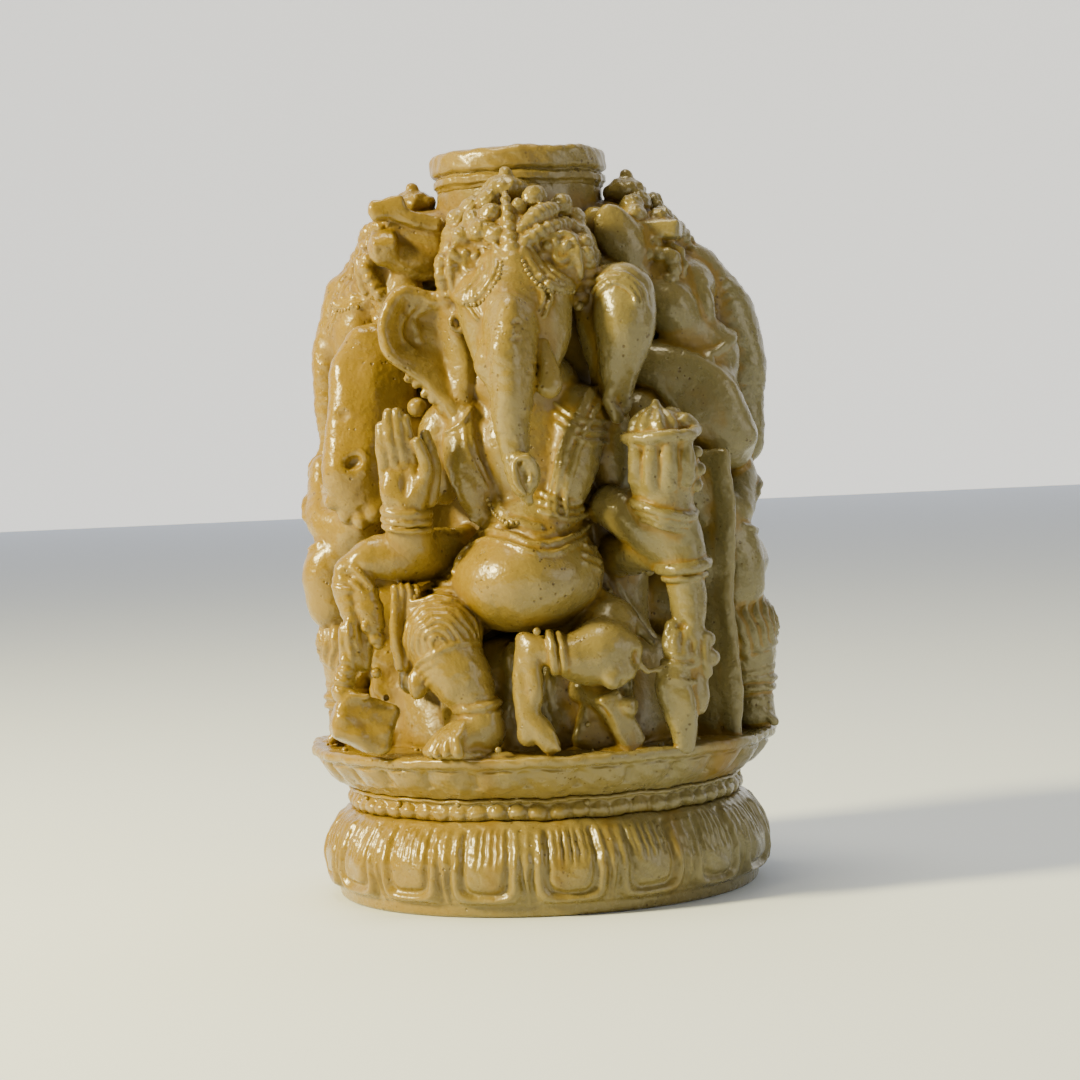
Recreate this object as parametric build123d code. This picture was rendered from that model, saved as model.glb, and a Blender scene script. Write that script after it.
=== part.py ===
from build123d import *
import os

# A devotional idol of seated, elephant-headed figures round a pillar on a lotus plinth.
# Millimetres, +Z up, origin at the centre of the underside. The front figure faces -Y.
# "Reach" is a distance out from the pillar's axis, towards the way that a figure faces.
# Heights of the figures are counted from the deck, the flat top of the plinth.

# Plinth
foot_radius = 34.6
foot_height = 2.0
lotus_radius = 36.2
lotus_height = 14.5
band_radius = 32.4
band_height = 3.6
deck_radius = 38.2
saucer_height = 6.9
lip_height = 1.0

# Pillar, neck and cap
pillar_radius = 19.0
pillar_height = 77.0
shoulder_height = 5.0
neck_radius = 13.7
neck_height = 12.0
cap_radius = 14.4
cap_height = 6.0
cap_waist = 0.8
cap_edge = 1.2

# Torso
belly_reach = 38.5
belly_half_width = 12.4
belly_depth = 14.5
belly_half_height = 10.4
belly_level = 27.0
chest_rise = 16.0
chest_half_width = 12.0
chest_depth = 11.0
chest_half_height = 16.0
chest_reach = 32.0

# Head, trunk and ears
head_level = 71.0
head_reach = 31.5
head_half_width = 9.8
head_depth = 13.0
head_half_height = 13.0
headdress_rise = 8.0
headdress_half_width = 11.8
headdress_half_height = 8.6
headdress_reach = 29.0
knob_radius = 4.2
knob_height = 5.5
knob_rise = 17.0
trunk_root_radius = 6.4
trunk_tip_radius = 3.0
trunk_drop = 29.0
trunk_reach = 38.0
trunk_sway = 0.8
sweet_half_width = 2.5
sweet_half_height = 3.9
tusk_root_radius = 2.0
tusk_tip_radius = 1.2
tusk_spread = 4.6
tusk_drop = 14.5
ear_half_width = 6.6
ear_thickness = 3.0
ear_half_height = 12.2
ear_spread = 15.6
ear_drop = 6.5
ear_lean = 24.0
ear_reach = 23.5

# Arms, and what the hands hold
arm_radius = 4.0
wrist_radius = 3.3
elbow_level = 29.5
elbow_spread = 26.0
elbow_reach = 26.5
palm_spread = 18.5
palm_reach = 30.0
palm_level = 45.0
palm_half_width = 4.3
palm_half_height = 9.2
palm_thickness = 2.4
hand_radius = 4.4
hand_level = 17.5
axe_width = 8.6
axe_thickness = 4.6
axe_blade_height = 9.5
axe_lean = 20.0
axe_handle_radius = 1.7
fist_spread = 21.4
fist_level = 41.0
fist_reach = 28.0
fist_half_width = 5.9
fist_half_height = 7.4
bowl_radius = 6.2
bowl_height = 2.4
dome_height = 5.6
bud_radius = 3.6

# Legs, seat and mouse
knee_radius = 8.0
knee_spread = 13.8
knee_level = 18.2
knee_reach = 30.0
hip_reach = 14.0
hip_spread = 7.0
shin_radius = 3.9
ankle_radius = 3.0
ankle_level = 8.0
foot_spread = 8.0
foot_reach = 31.5
foot_length = 9.5
sole_radius = 2.8
calf_half_length = 8.0
calf_half_height = 5.6
calf_spread = 11.0
calf_level = 15.6
calf_reach = 32.5
hanging_foot_radius = 2.9
hanging_foot_reach = 33.2
seat_half_width = 15.0
seat_reach = 27.0
seat_height = 18.0
seat_corner = 4.0
mouse_spread = 11.0
mouse_reach = 28.5
mouse_half_width = 3.4
mouse_half_length = 5.0
mouse_height = 7.0

# Upright panels at two corners, and the hands raised beside the neck
panel_reach = 36.5
panel_thickness = 3.0
panel_height = 45.0
panel_angle = -29.0  # from +X; the other panel is opposite
raised_reach = 20.5
raised_spread = 17.5
raised_level = 80.0
raised_fist_radius = 3.6
raised_blade_length = 11.0
raised_blade_thickness = 3.2
raised_blade_height = 8.5

# Places that follow from the sizes above
band_z = lotus_height
saucer_z = band_z + band_height
deck_z = saucer_z + saucer_height
neck_z = deck_z + pillar_height
cap_z = neck_z + neck_height
total_height = cap_z + cap_height
belly_z = deck_z + belly_level
chest_z = belly_z + chest_rise
head_z = deck_z + head_level
crown_z = head_z + headdress_rise
elbow_z = deck_z + elbow_level
palm_z = deck_z + palm_level
fist_z = deck_z + fist_level
hand_z = deck_z + hand_level
knee_z = deck_z + knee_level
ankle_z = deck_z + ankle_level
calf_z = deck_z + calf_level
chip_share = 0.02  # a cut's left-overs under this share of a piece are dropped


def blob(centre, half_sizes):
    """A rounded lump: a ball scaled to its half sizes."""
    return Pos(*centre) * scale(Sphere(1), by=half_sizes)


def limb(points, radii):
    """A tapering limb through the points, round in section, with flat ends."""
    middles = [Vector(*p) for p in points]
    rings = []
    for i, middle in enumerate(middles):
        before = middles[max(i - 1, 0)]
        after = middles[min(i + 1, len(middles) - 1)]
        plane = Plane(origin=middle, z_dir=(after - before).normalized())
        rings.append(plane * Circle(radii[i]))
    return loft(Sketch() + rings)


def solid_of(shape):
    """The shape without the small left-overs of a cut."""
    solids = shape.solids()
    biggest = max(s.volume for s in solids)
    kept = [s for s in solids if s.volume > chip_share * biggest]
    return Compound(children=kept) if len(kept) > 1 else kept[0]


def fitted(raw, neighbours):
    """The raw shape, cut back where earlier pieces already stand, so that it meets them face to face."""
    box = raw.bounding_box()
    for other in neighbours:
        near = other.bounding_box()
        apart = (
            near.min.X > box.max.X or near.max.X < box.min.X
            or near.min.Y > box.max.Y or near.max.Y < box.min.Y
            or near.min.Z > box.max.Z or near.max.Z < box.min.Z
        )
        if not apart:
            raw = raw - other
    return solid_of(raw)


def turned(profile):
    """A solid of revolution about Z from a half profile in the XZ plane."""
    return revolve(Plane.XZ * profile, Axis.Z)


def plinth_lotus():
    with BuildSketch() as profile:
        with BuildLine():
            Polyline((0, 0), (foot_radius, 0), (foot_radius, foot_height))
            Spline(
                (foot_radius, foot_height),
                (lotus_radius, lotus_height * 0.62),
                (band_radius - 1, lotus_height),
            )
            Polyline((band_radius - 1, lotus_height), (0, lotus_height), (0, 0))
        make_face()
    return turned(profile.sketch)


def bead_band():
    return Pos(0, 0, band_z) * Cylinder(
        band_radius, band_height, align=(Align.CENTER, Align.CENTER, Align.MIN)
    )


def plinth_saucer():
    lip_z = deck_z - lip_height
    with BuildSketch() as profile:
        with BuildLine():
            Line((0, saucer_z), (band_radius, saucer_z))
            ThreePointArc(
                (band_radius, saucer_z),
                (deck_radius - 2.4, (saucer_z + lip_z) / 2),
                (deck_radius - 0.7, lip_z),
            )
            Polyline(
                (deck_radius - 0.7, lip_z), (deck_radius, lip_z),
                (deck_radius, deck_z), (0, deck_z), (0, saucer_z),
            )
        make_face()
    return turned(profile.sketch)


def pillar():
    top_z = neck_z - shoulder_height
    with BuildSketch() as profile:
        with BuildLine():
            Polyline(
                (0, deck_z), (pillar_radius, deck_z), (pillar_radius, top_z),
                (neck_radius, neck_z), (neck_radius, cap_z), (0, cap_z), (0, deck_z),
            )
        make_face()
    return turned(profile.sketch)


def cap():
    with BuildSketch() as profile:
        with BuildLine():
            Polyline(
                (0, cap_z), (neck_radius - cap_waist, cap_z), (cap_radius, cap_z + cap_edge),
                (cap_radius, total_height - cap_edge),
                (cap_radius - cap_edge, total_height), (0, total_height), (0, cap_z),
            )
        make_face()
    return turned(profile.sketch)


def torso():
    belly = blob(
        (0, belly_depth - belly_reach, belly_z),
        (belly_half_width, belly_depth, belly_half_height),
    )
    chest = blob(
        (0, chest_depth - chest_reach, chest_z),
        (chest_half_width, chest_depth, chest_half_height),
    )
    return belly + chest


def head():
    return blob(
        (0, head_depth - head_reach, head_z), (head_half_width, head_depth, head_half_height)
    )


def headdress():
    depth = headdress_reach - neck_radius + 4
    cover = blob(
        (0, depth - headdress_reach, crown_z),
        (headdress_half_width, depth, headdress_half_height),
    )
    knob = Pos(0, -neck_radius - knob_radius / 2, head_z + knob_rise) * Cone(
        knob_radius, knob_radius / 4, knob_height
    )
    return cover + knob


def trunk():
    tip_z = head_z - trunk_drop
    root_reach = trunk_reach - trunk_root_radius - 2
    return limb(
        [
            (0, -root_reach, head_z - 1),
            (0, trunk_root_radius - trunk_reach, head_z - trunk_drop * 0.28),
            (-trunk_sway, 4.4 - trunk_reach, head_z - trunk_drop * 0.62),
            (-trunk_sway, trunk_tip_radius - trunk_reach, tip_z),
        ],
        [trunk_root_radius, trunk_root_radius - 0.4, 4.4, trunk_tip_radius],
    )


def trunk_sweet():
    return blob(
        (trunk_sway, sweet_half_width - trunk_reach, head_z - trunk_drop),
        (sweet_half_width, sweet_half_width, sweet_half_height),
    )


def tusks():
    pair = Part()
    for side in (-1, 1):
        root = (side * (tusk_spread + 1), 8 - trunk_reach, head_z - tusk_drop + 4)
        tip = (side * tusk_spread, 4.5 - trunk_reach, head_z - tusk_drop - 1.5)
        pair += limb([root, tip], [tusk_root_radius, tusk_tip_radius])
    return pair


def ear(side):
    flap = Rot(0, side * ear_lean, 0) * scale(
        Sphere(1), by=(ear_half_width, ear_thickness, ear_half_height)
    )
    return Pos(side * ear_spread, -ear_reach, head_z - ear_drop) * flap


def blessing_arm():
    palm = blob((-palm_spread, -palm_reach, palm_z), (palm_half_width, palm_thickness, palm_half_height))
    forearm = limb(
        [(-palm_spread, -elbow_reach - 2, elbow_z), (-palm_spread, -palm_reach, palm_z - 6)],
        [arm_radius, wrist_radius],
    )
    return forearm + palm


def bent_arm(side):
    """The lower arm on one side: out of the pillar, round the elbow and down to the hand."""
    elbow = (side * elbow_spread, -elbow_reach, elbow_z - 2)
    upper = limb(
        [(side * pillar_radius / 3, -pillar_radius / 2, elbow_z + 3), elbow],
        [arm_radius, arm_radius],
    )
    forearm = limb(
        [(elbow[0], elbow[1], elbow_z), (side * (elbow_spread - 1), -elbow_reach - 1.5, hand_z)],
        [arm_radius, wrist_radius],
    )
    hand = blob(
        (side * (elbow_spread - 1), -elbow_reach - 1.5, hand_z), (hand_radius,) * 3
    )
    return upper + forearm + hand + blob(elbow, (arm_radius + 0.3,) * 3)


def axe():
    middle = (1 - elbow_spread, -elbow_reach - 1.5)
    handle = Pos(*middle, deck_z + axe_blade_height) * Cylinder(
        axe_handle_radius, hand_level - axe_blade_height + 4,
        align=(Align.CENTER, Align.CENTER, Align.MIN),
    )
    blade = Pos(*middle, deck_z) * Rot(0, 0, axe_lean) * Box(
        axe_width, axe_thickness, axe_blade_height,
        align=(Align.CENTER, Align.CENTER, Align.MIN),
    )
    return blade + handle


def bowl_arm():
    fist = blob((fist_spread, -fist_reach, fist_z), (fist_half_width, fist_half_width, fist_half_height))
    forearm = limb(
        [(fist_spread - 3, -elbow_reach + 1, elbow_z + 2), (fist_spread, -fist_reach, fist_z)],
        [arm_radius, arm_radius],
    )
    return fist + forearm


def sweet_bowl():
    """A bowl on the fist, heaped with sweets."""
    rim_z = fist_z + fist_half_height
    with BuildSketch() as profile:
        with BuildLine():
            Polyline((0, rim_z - bowl_height), (bowl_radius * 0.7, rim_z - bowl_height), (bowl_radius, rim_z))
            Spline((bowl_radius, rim_z), (bowl_radius * 0.6, rim_z + dome_height * 0.7), (0, rim_z + dome_height))
            Line((0, rim_z + dome_height), (0, rim_z - bowl_height))
        make_face()
    return Pos(fist_spread, -fist_reach, 0) * turned(profile.sketch)


def bud():
    top_z = hand_z - 1
    with BuildSketch() as profile:
        with BuildLine():
            Line((0, deck_z), (bud_radius * 0.45, deck_z))
            Spline(
                (bud_radius * 0.45, deck_z),
                (bud_radius, deck_z + (top_z - deck_z) * 0.55),
                (bud_radius * 0.4, top_z),
            )
            Polyline((bud_radius * 0.4, top_z), (0, top_z), (0, deck_z))
        make_face()
    return Pos(elbow_spread - 3, -elbow_reach - 2.5, 0) * turned(profile.sketch)


def bent_leg():
    """The leg that stands on the deck: thigh, knee, shin and foot."""
    knee = blob((-knee_spread, -knee_reach, knee_z), (knee_radius,) * 3)
    thigh = limb(
        [(-hip_spread, -hip_reach, knee_z + 5), (-knee_spread, -knee_reach, knee_z)],
        [knee_radius, knee_radius - 1],
    )
    shin = limb(
        [(-knee_spread + 3, -knee_reach, knee_z - 2), (-foot_spread, -foot_reach, deck_z)],
        [shin_radius + 1, ankle_radius],
    )
    toes = (-foot_spread - foot_length * 0.7, -foot_reach - foot_length * 0.35, deck_z + 1)
    foot = limb(
        [(-foot_spread, -foot_reach, deck_z + sole_radius), toes], [sole_radius + 0.6, sole_radius - 0.6]
    )
    return knee + thigh + shin + foot


def folded_leg():
    """The leg that is folded across: thigh, calf, and a foot that hangs down to the deck."""
    calf = blob(
        (calf_spread, -calf_reach, calf_z),
        (calf_half_length, calf_half_height - 0.6, calf_half_height),
    )
    thigh = limb(
        [(hip_spread, -hip_reach, calf_z + 4), (calf_spread + 1, -calf_reach + 2, calf_z)],
        [calf_half_height + 0.5, calf_half_height - 0.6],
    )
    ankle_x = calf_spread - calf_half_length
    shin = limb(
        [(calf_spread - 4, -calf_reach, calf_z), (ankle_x - 2, -hanging_foot_reach, calf_z)],
        [ankle_radius + 0.8, ankle_radius],
    )
    foot = limb(
        [
            (ankle_x - 2.4, -hanging_foot_reach, calf_z + 2.5),
            (ankle_x - 2.6, -hanging_foot_reach, calf_z - 5),
            (ankle_x - 1.4, -hanging_foot_reach - 0.6, deck_z),
        ],
        [ankle_radius, hanging_foot_radius - 0.4, hanging_foot_radius + 0.3],
    )
    return calf + thigh + shin + foot


def seat():
    """The block that the four figures sit on, a cross in plan round the pillar."""
    bar = Pos(0, 0, deck_z) * Box(
        2 * seat_half_width, 2 * seat_reach, seat_height,
        align=(Align.CENTER, Align.CENTER, Align.MIN),
    )
    bar = fillet(bar.edges().filter_by(Axis.Z), seat_corner)
    return bar + bar.rotate(Axis.Z, 90)


def mouse():
    return blob(
        (mouse_spread, -mouse_reach, deck_z + mouse_height * 0.45),
        (mouse_half_width, mouse_half_length, mouse_height * 0.5),
    ) & Pos(mouse_spread, -mouse_reach, deck_z) * Box(
        4 * mouse_half_width, 4 * mouse_half_length, 2 * mouse_height,
        align=(Align.CENTER, Align.CENTER, Align.MIN),
    )


def side_legs():
    """The two knees and shins of a side figure, close together."""
    both = Part()
    for side in (-1, 1):
        spread = side * (knee_radius + 0.2)
        knee = blob((spread, knee_radius - belly_reach, knee_z), (knee_radius - 0.4, knee_radius, knee_radius))
        thigh = limb(
            [(spread, -hip_reach, knee_z + 1), (spread, knee_radius - belly_reach, knee_z)],
            [knee_radius - 1.4, knee_radius - 1],
        )
        shin = limb(
            [(spread, -knee_reach - 1, knee_z - 2), (spread, -knee_reach - 2.5, deck_z)],
            [shin_radius + 1, ankle_radius + 0.4],
        )
        both += knee + thigh + shin
    return both


def raised_hands():
    """A hand on each side of the neck that holds up a blade or a leaf."""
    both = Part()
    for side in (-1, 1):
        centre = (side * raised_spread, -raised_reach, deck_z + raised_level)
        fist = blob(centre, (raised_fist_radius,) * 3)
        arm = limb(
            [(side * neck_radius * 0.6, -neck_radius * 0.6, centre[2]), centre],
            [wrist_radius, wrist_radius - 0.4],
        )
        blade = Pos(centre[0] - side * 1.5, centre[1] + 2, centre[2] + 2) * Rot(0, 0, side * 45) * Box(
            raised_blade_length, raised_blade_thickness, raised_blade_height,
            align=(Align.CENTER, Align.CENTER, Align.MIN),
        )
        both += fist + arm + blade
    return both


def corner_panels():
    """Upright panels on the deck at two opposite corners."""
    pair = Part()
    for angle in (panel_angle, panel_angle + 180):
        panel = Pos(0, 0, deck_z) * Box(
            panel_reach, panel_thickness, panel_height,
            align=(Align.MIN, Align.CENTER, Align.MIN),
        )
        pair += panel.rotate(Axis.Z, angle)
    return pair


def fit_in_turn(raw_pieces, standing):
    """Fits each piece to what stands already and to the pieces before it, in the order given."""
    fitted_pieces = {}
    for name, raw in raw_pieces.items():
        fitted_pieces[name] = fitted(raw, [*standing, *fitted_pieces.values()])
    return fitted_pieces


core = fit_in_turn(
    {
        "plinth_lotus": plinth_lotus(),
        "plinth_bead_band": bead_band(),
        "plinth_saucer": plinth_saucer(),
        "pillar_with_neck": pillar(),
        "neck_cap": cap(),
        "seat": seat(),
    },
    [],
)

front = fit_in_turn(
    {
        "torso": torso(),
        "head": head(),
        "headdress": headdress(),
        "trunk": trunk(),
        "tusks": tusks(),
        "trunk_sweet": trunk_sweet(),
        "ear_right": ear(-1),
        "ear_left": ear(1),
        "bent_leg": bent_leg(),
        "folded_leg": folded_leg(),
        "axe_arm": bent_arm(-1),
        "bud_arm": bent_arm(1),
        "blessing_arm": blessing_arm(),
        "bowl_arm": bowl_arm(),
        "axe": axe(),
        "lotus_bud": bud(),
        "sweet_bowl": sweet_bowl(),
        "mouse": mouse(),
    },
    list(core.values()),
)
back = {name: piece.rotate(Axis.Z, 180) for name, piece in front.items()}

# The figures at the sides have no arms of their own at the corners, where the others' arms are.
left = fit_in_turn(
    {
        name: raw.rotate(Axis.Z, -90)
        for name, raw in {
            "torso": torso(),
            "head": head(),
            "headdress": headdress(),
            "trunk": trunk(),
            "ear_right": ear(-1),
            "ear_left": ear(1),
            "legs": side_legs(),
            "raised_hands": raised_hands(),
        }.items()
    },
    [*core.values(), *front.values(), *back.values()],
)
right = {name: piece.rotate(Axis.Z, 180) for name, piece in left.items()}

nodes = dict(core)
for facing, figure in {"front": front, "back": back, "left": left, "right": right}.items():
    nodes.update({f"{facing}_{name}": piece for name, piece in figure.items()})
nodes.update(fit_in_turn({"corner_panels": corner_panels()}, list(nodes.values())))

os.makedirs("parts", exist_ok=True)
for name, piece in nodes.items():
    export_step(piece, f"parts/{name}.step")
    size = piece.bounding_box().size
    print(f"{name}: {len(piece.solids())} solid(s), {size.X:.1f} x {size.Y:.1f} x {size.Z:.1f} mm")
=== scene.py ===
import math

import bpy
import numpy as np
import openvdb
from mathutils import Euler, Matrix, Vector


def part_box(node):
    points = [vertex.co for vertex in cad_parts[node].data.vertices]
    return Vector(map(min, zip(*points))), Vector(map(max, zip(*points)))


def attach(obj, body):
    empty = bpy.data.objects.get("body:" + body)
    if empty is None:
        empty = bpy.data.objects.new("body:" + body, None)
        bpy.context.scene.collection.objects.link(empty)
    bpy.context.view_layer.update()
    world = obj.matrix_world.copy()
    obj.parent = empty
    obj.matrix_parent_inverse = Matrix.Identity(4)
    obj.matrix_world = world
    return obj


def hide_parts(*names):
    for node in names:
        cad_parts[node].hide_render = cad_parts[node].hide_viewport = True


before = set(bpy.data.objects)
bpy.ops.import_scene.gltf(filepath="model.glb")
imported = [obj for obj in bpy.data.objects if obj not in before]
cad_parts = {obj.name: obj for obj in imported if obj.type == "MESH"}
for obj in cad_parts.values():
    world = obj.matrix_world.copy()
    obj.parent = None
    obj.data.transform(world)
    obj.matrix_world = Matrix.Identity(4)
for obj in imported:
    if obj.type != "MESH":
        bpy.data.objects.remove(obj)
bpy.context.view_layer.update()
print("frame loaded")

mm = 0.001
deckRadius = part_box("plinth_saucer")[1].x / mm
neckRadius = 13.7
turns = {"front": 0, "right": 1, "back": 2, "left": 3}  # quarter turns about the pillar

# what the figures are modelled in, mm
clay = {
    "cell": 0.3,   # size of a grid cell
    "reach": 2.4,                         # how far a form is felt outside itself
    "reliefRoom": 0.6,                    # how far a relief may stand out of its form
    "halfWidth": 41.0,
    "floor": -1.5,
    "ceiling": 122.0,
    "join": 0.9,                          # fillet where two pieces meet
    "seamOverlap": 0.6,                   # how far a piece runs on inside its neighbour
    "seamDip": 0.14,                      # how far it sinks there
    "merging": 0.04,                      # how readily flat cells are joined, 0 to 1
    "fewest": 60,                         # points, below which a loose crumb is dropped
}
cell = clay["cell"]
middle = int(round(clay["halfWidth"] / cell))
sideCells = 2 * middle + 1
levels = int(round((clay["ceiling"] - clay["floor"]) / cell))
sideLine = ((np.arange(sideCells) - middle) * cell).astype(np.float32)
heightLine = (np.arange(levels) * cell + clay["floor"]).astype(np.float32)
gridLines = (sideLine, sideLine, heightLine)


def softMin(a, b, k):
    if k <= 0:
        return np.minimum(a, b)
    h = np.maximum(k - np.abs(a - b), 0) / k
    return np.minimum(a, b) - h * h * (k / 4)


def ease(value, low, high):
    t = np.clip((value - low) / (high - low), 0, 1)
    return t * t * (3 - 2 * t)


def roomFor(relief):
    return clay["reliefRoom"] if relief else 0


def turnOf(tilt):
    return np.array(Euler([math.radians(a) for a in tilt]).to_matrix(), dtype=np.float32)


class Form:
    # a shape: the box it fills, and how far any point is from its surface

    def __init__(self, low, high, distance):
        self.low = np.array(low, float)
        self.high = np.array(high, float)
        self.distance = distance


def local(x, y, z, centre, turn):
    px, py, pz = x - centre[0], y - centre[1], z - centre[2]
    return [turn[0, i] * px + turn[1, i] * py + turn[2, i] * pz for i in range(3)]


def ball(centre, radii, tilt=(0, 0, 0), relief=None):
    r = np.broadcast_to(np.array(radii, float), 3)
    turn = turnOf(tilt)
    half = np.sqrt(((turn * r) ** 2).sum(1)) + roomFor(relief)
    centre = np.array(centre, float)

    def distance(x, y, z):
        u, v, w = local(x, y, z, centre, turn)
        k0 = np.sqrt((u / r[0]) ** 2 + (v / r[1]) ** 2 + (w / r[2]) ** 2)
        k1 = np.sqrt((u / r[0] ** 2) ** 2 + (v / r[1] ** 2) ** 2 + (w / r[2] ** 2) ** 2)
        d = k0 * (k0 - 1) / np.maximum(k1, 1e-4)
        return d - relief(u, v, w) if relief else d

    return Form(centre - half, centre + half, distance)


def slab(centre, halves, edge, tilt=(0, 0, 0), relief=None):
    halves = np.array(halves, float)
    turn = turnOf(tilt)
    half = (np.abs(turn) * halves).sum(1) + roomFor(relief)
    centre = np.array(centre, float)

    def distance(x, y, z):
        p = local(x, y, z, centre, turn)
        q = [np.abs(p[i]) - (halves[i] - edge) for i in range(3)]
        outside = np.sqrt(sum(np.maximum(c, 0) ** 2 for c in q))
        d = outside + np.minimum(np.maximum(np.maximum(q[0], q[1]), q[2]), 0) - edge
        return d - relief(*p) if relief else d

    return Form(centre - half, centre + half, distance)


def hoop(centre, radii, thickness, tilt=(0, 0, 0)):
    # an oval ring round its own Z
    turn = turnOf(tilt)
    reach = np.array([radii[0] + thickness, radii[1] + thickness, thickness])
    half = (np.abs(turn) * reach).sum(1)
    centre = np.array(centre, float)

    def distance(x, y, z):
        u, v, w = local(x, y, z, centre, turn)
        k0 = np.sqrt((u / radii[0]) ** 2 + (v / radii[1]) ** 2)
        k1 = np.sqrt((u / radii[0] ** 2) ** 2 + (v / radii[1] ** 2) ** 2)
        across = k0 * (k0 - 1) / np.maximum(k1, 1e-4)
        return np.sqrt(across ** 2 + w ** 2) - thickness

    return Form(centre - half, centre + half, distance)


def drum(centre, lowRadius, highRadius, halfHeight, edge, tilt=(0, 0, 0), relief=None):
    # a round block round its own Z, tapering from low to high
    turn = turnOf(tilt)
    widest = max(lowRadius, highRadius) + roomFor(relief)
    half = (np.abs(turn) * np.array([widest, widest, halfHeight])).sum(1)
    centre = np.array(centre, float)

    def distance(x, y, z):
        u, v, w = local(x, y, z, centre, turn)
        share = np.clip((w + halfHeight) / (2 * halfHeight), 0, 1)
        radius = lowRadius + (highRadius - lowRadius) * share
        if relief:
            radius = radius + relief(u, v, w)
        a = np.sqrt(u * u + v * v) - radius + edge
        b = np.abs(w) - halfHeight + edge
        return np.sqrt(np.maximum(a, 0) ** 2 + np.maximum(b, 0) ** 2) + np.minimum(np.maximum(a, b), 0) - edge

    return Form(centre - half, centre + half, distance)


def smoothPath(points, steps=5):
    # a Catmull-Rom line through rows of numbers
    rows = np.array(points, float)
    if len(rows) < 3:
        return rows
    ends = np.vstack([2 * rows[0] - rows[1], rows, 2 * rows[-1] - rows[-2]])
    out = []
    for i in range(1, len(ends) - 2):
        a, b, c, d = ends[i - 1], ends[i], ends[i + 1], ends[i + 2]
        for t in np.arange(steps) / steps:
            out.append(0.5 * (2 * b + (c - a) * t + (2 * a - 5 * b + 4 * c - d) * t ** 2
                              + (3 * b - a - 3 * c + d) * t ** 3))
    out.append(rows[-1])
    return np.array(out)


def rod(points, radii, relief=None, steps=5):
    # a limb through the points, round in section, with round ends
    radii = np.broadcast_to(np.array(radii, float), len(points))
    line = smoothPath([(*p, r) for p, r in zip(points, radii)], steps)
    reach = line[:, 3:4] + roomFor(relief)
    low = (line[:, :3] - reach).min(0)
    high = (line[:, :3] + reach).max(0)

    def distance(x, y, z):
        best = None
        along = None
        walked = 0.0
        for a, b in zip(line[:-1], line[1:]):
            way = b[:3] - a[:3]
            length = math.sqrt(float(way @ way)) + 1e-6
            px, py, pz = x - a[0], y - a[1], z - a[2]
            t = np.clip((px * way[0] + py * way[1] + pz * way[2]) / length ** 2, 0, 1)
            gap = np.sqrt((px - way[0] * t) ** 2 + (py - way[1] * t) ** 2 + (pz - way[2] * t) ** 2)
            d = gap - (a[3] + (b[3] - a[3]) * t)
            if best is None:
                best, along = d, walked + t * length
            else:
                if relief:
                    along = np.where(d < best, walked + t * length, along)
                best = np.minimum(best, d)
            walked += length
        return best - relief(along) if relief else best

    return Form(low, high, distance)


def flap(outline, middleY, thickness, rim, dish, tilt=0.0, bow=0.0):
    # a leaf cut to an outline in X and Z, with a raised rim and a dished face towards -Y
    edge = smoothPath([*outline, outline[0]], 4)[:-1]
    low2, high2 = edge.min(0), edge.max(0)
    centreX = (low2[0] + high2[0]) / 2
    span = (high2 - low2) / 2

    def distance(x, y, z):
        px = np.broadcast_to(x, np.broadcast_shapes(x.shape, z.shape))[:, 0, :]
        pz = np.broadcast_to(z, np.broadcast_shapes(x.shape, z.shape))[:, 0, :]
        best = np.full(px.shape, 1e9)
        inside = np.zeros(px.shape, bool)
        for a, b in zip(edge, np.roll(edge, -1, 0)):
            way = b - a
            t = np.clip(((px - a[0]) * way[0] + (pz - a[1]) * way[1]) / (way @ way + 1e-9), 0, 1)
            best = np.minimum(best, np.hypot(px - a[0] - way[0] * t, pz - a[1] - way[1] * t))
            crosses = (a[1] > pz) != (b[1] > pz)
            rise = np.where(abs(way[1]) < 1e-9, 1e-9, way[1])
            inside ^= crosses & (px < a[0] + way[0] * (pz - a[1]) / rise)
        signed = np.where(inside, -best, best)
        depth = np.maximum(-signed, 0)
        rimShare = np.exp(-((depth - rim * 0.55) / (rim * 0.5)) ** 2)
        dishShare = ease(depth, rim * 0.7, rim * 2.2)
        mid = middleY + tilt * (px - centreX) + bow * ((px - centreX) / span[0]) ** 2
        front = mid - thickness - 0.35 * rimShare + dish * dishShare
        back = mid + thickness
        q = np.maximum(front[:, None, :] - y, y - back[:, None, :])
        side = (signed + thickness * 0.55)[:, None, :]
        q = q + thickness * 0.55
        return (np.sqrt(np.maximum(side, 0) ** 2 + np.maximum(q, 0) ** 2)
                + np.minimum(np.maximum(side, q), 0) - thickness * 0.55)

    reachY = thickness + 0.5 + abs(tilt) * span[0] + abs(bow)
    return Form((low2[0], middleY - reachY, low2[1]), (high2[0], middleY + reachY, high2[1]), distance)


def blockOf(low, high):
    start = [int(np.floor((low[i] - gridLines[i][0]) / cell)) for i in range(3)]
    stop = [int(np.ceil((high[i] - gridLines[i][0]) / cell)) + 1 for i in range(3)]
    size = (sideCells, sideCells, levels)
    return tuple(slice(max(start[i], 0), min(stop[i], size[i])) for i in range(3))


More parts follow.
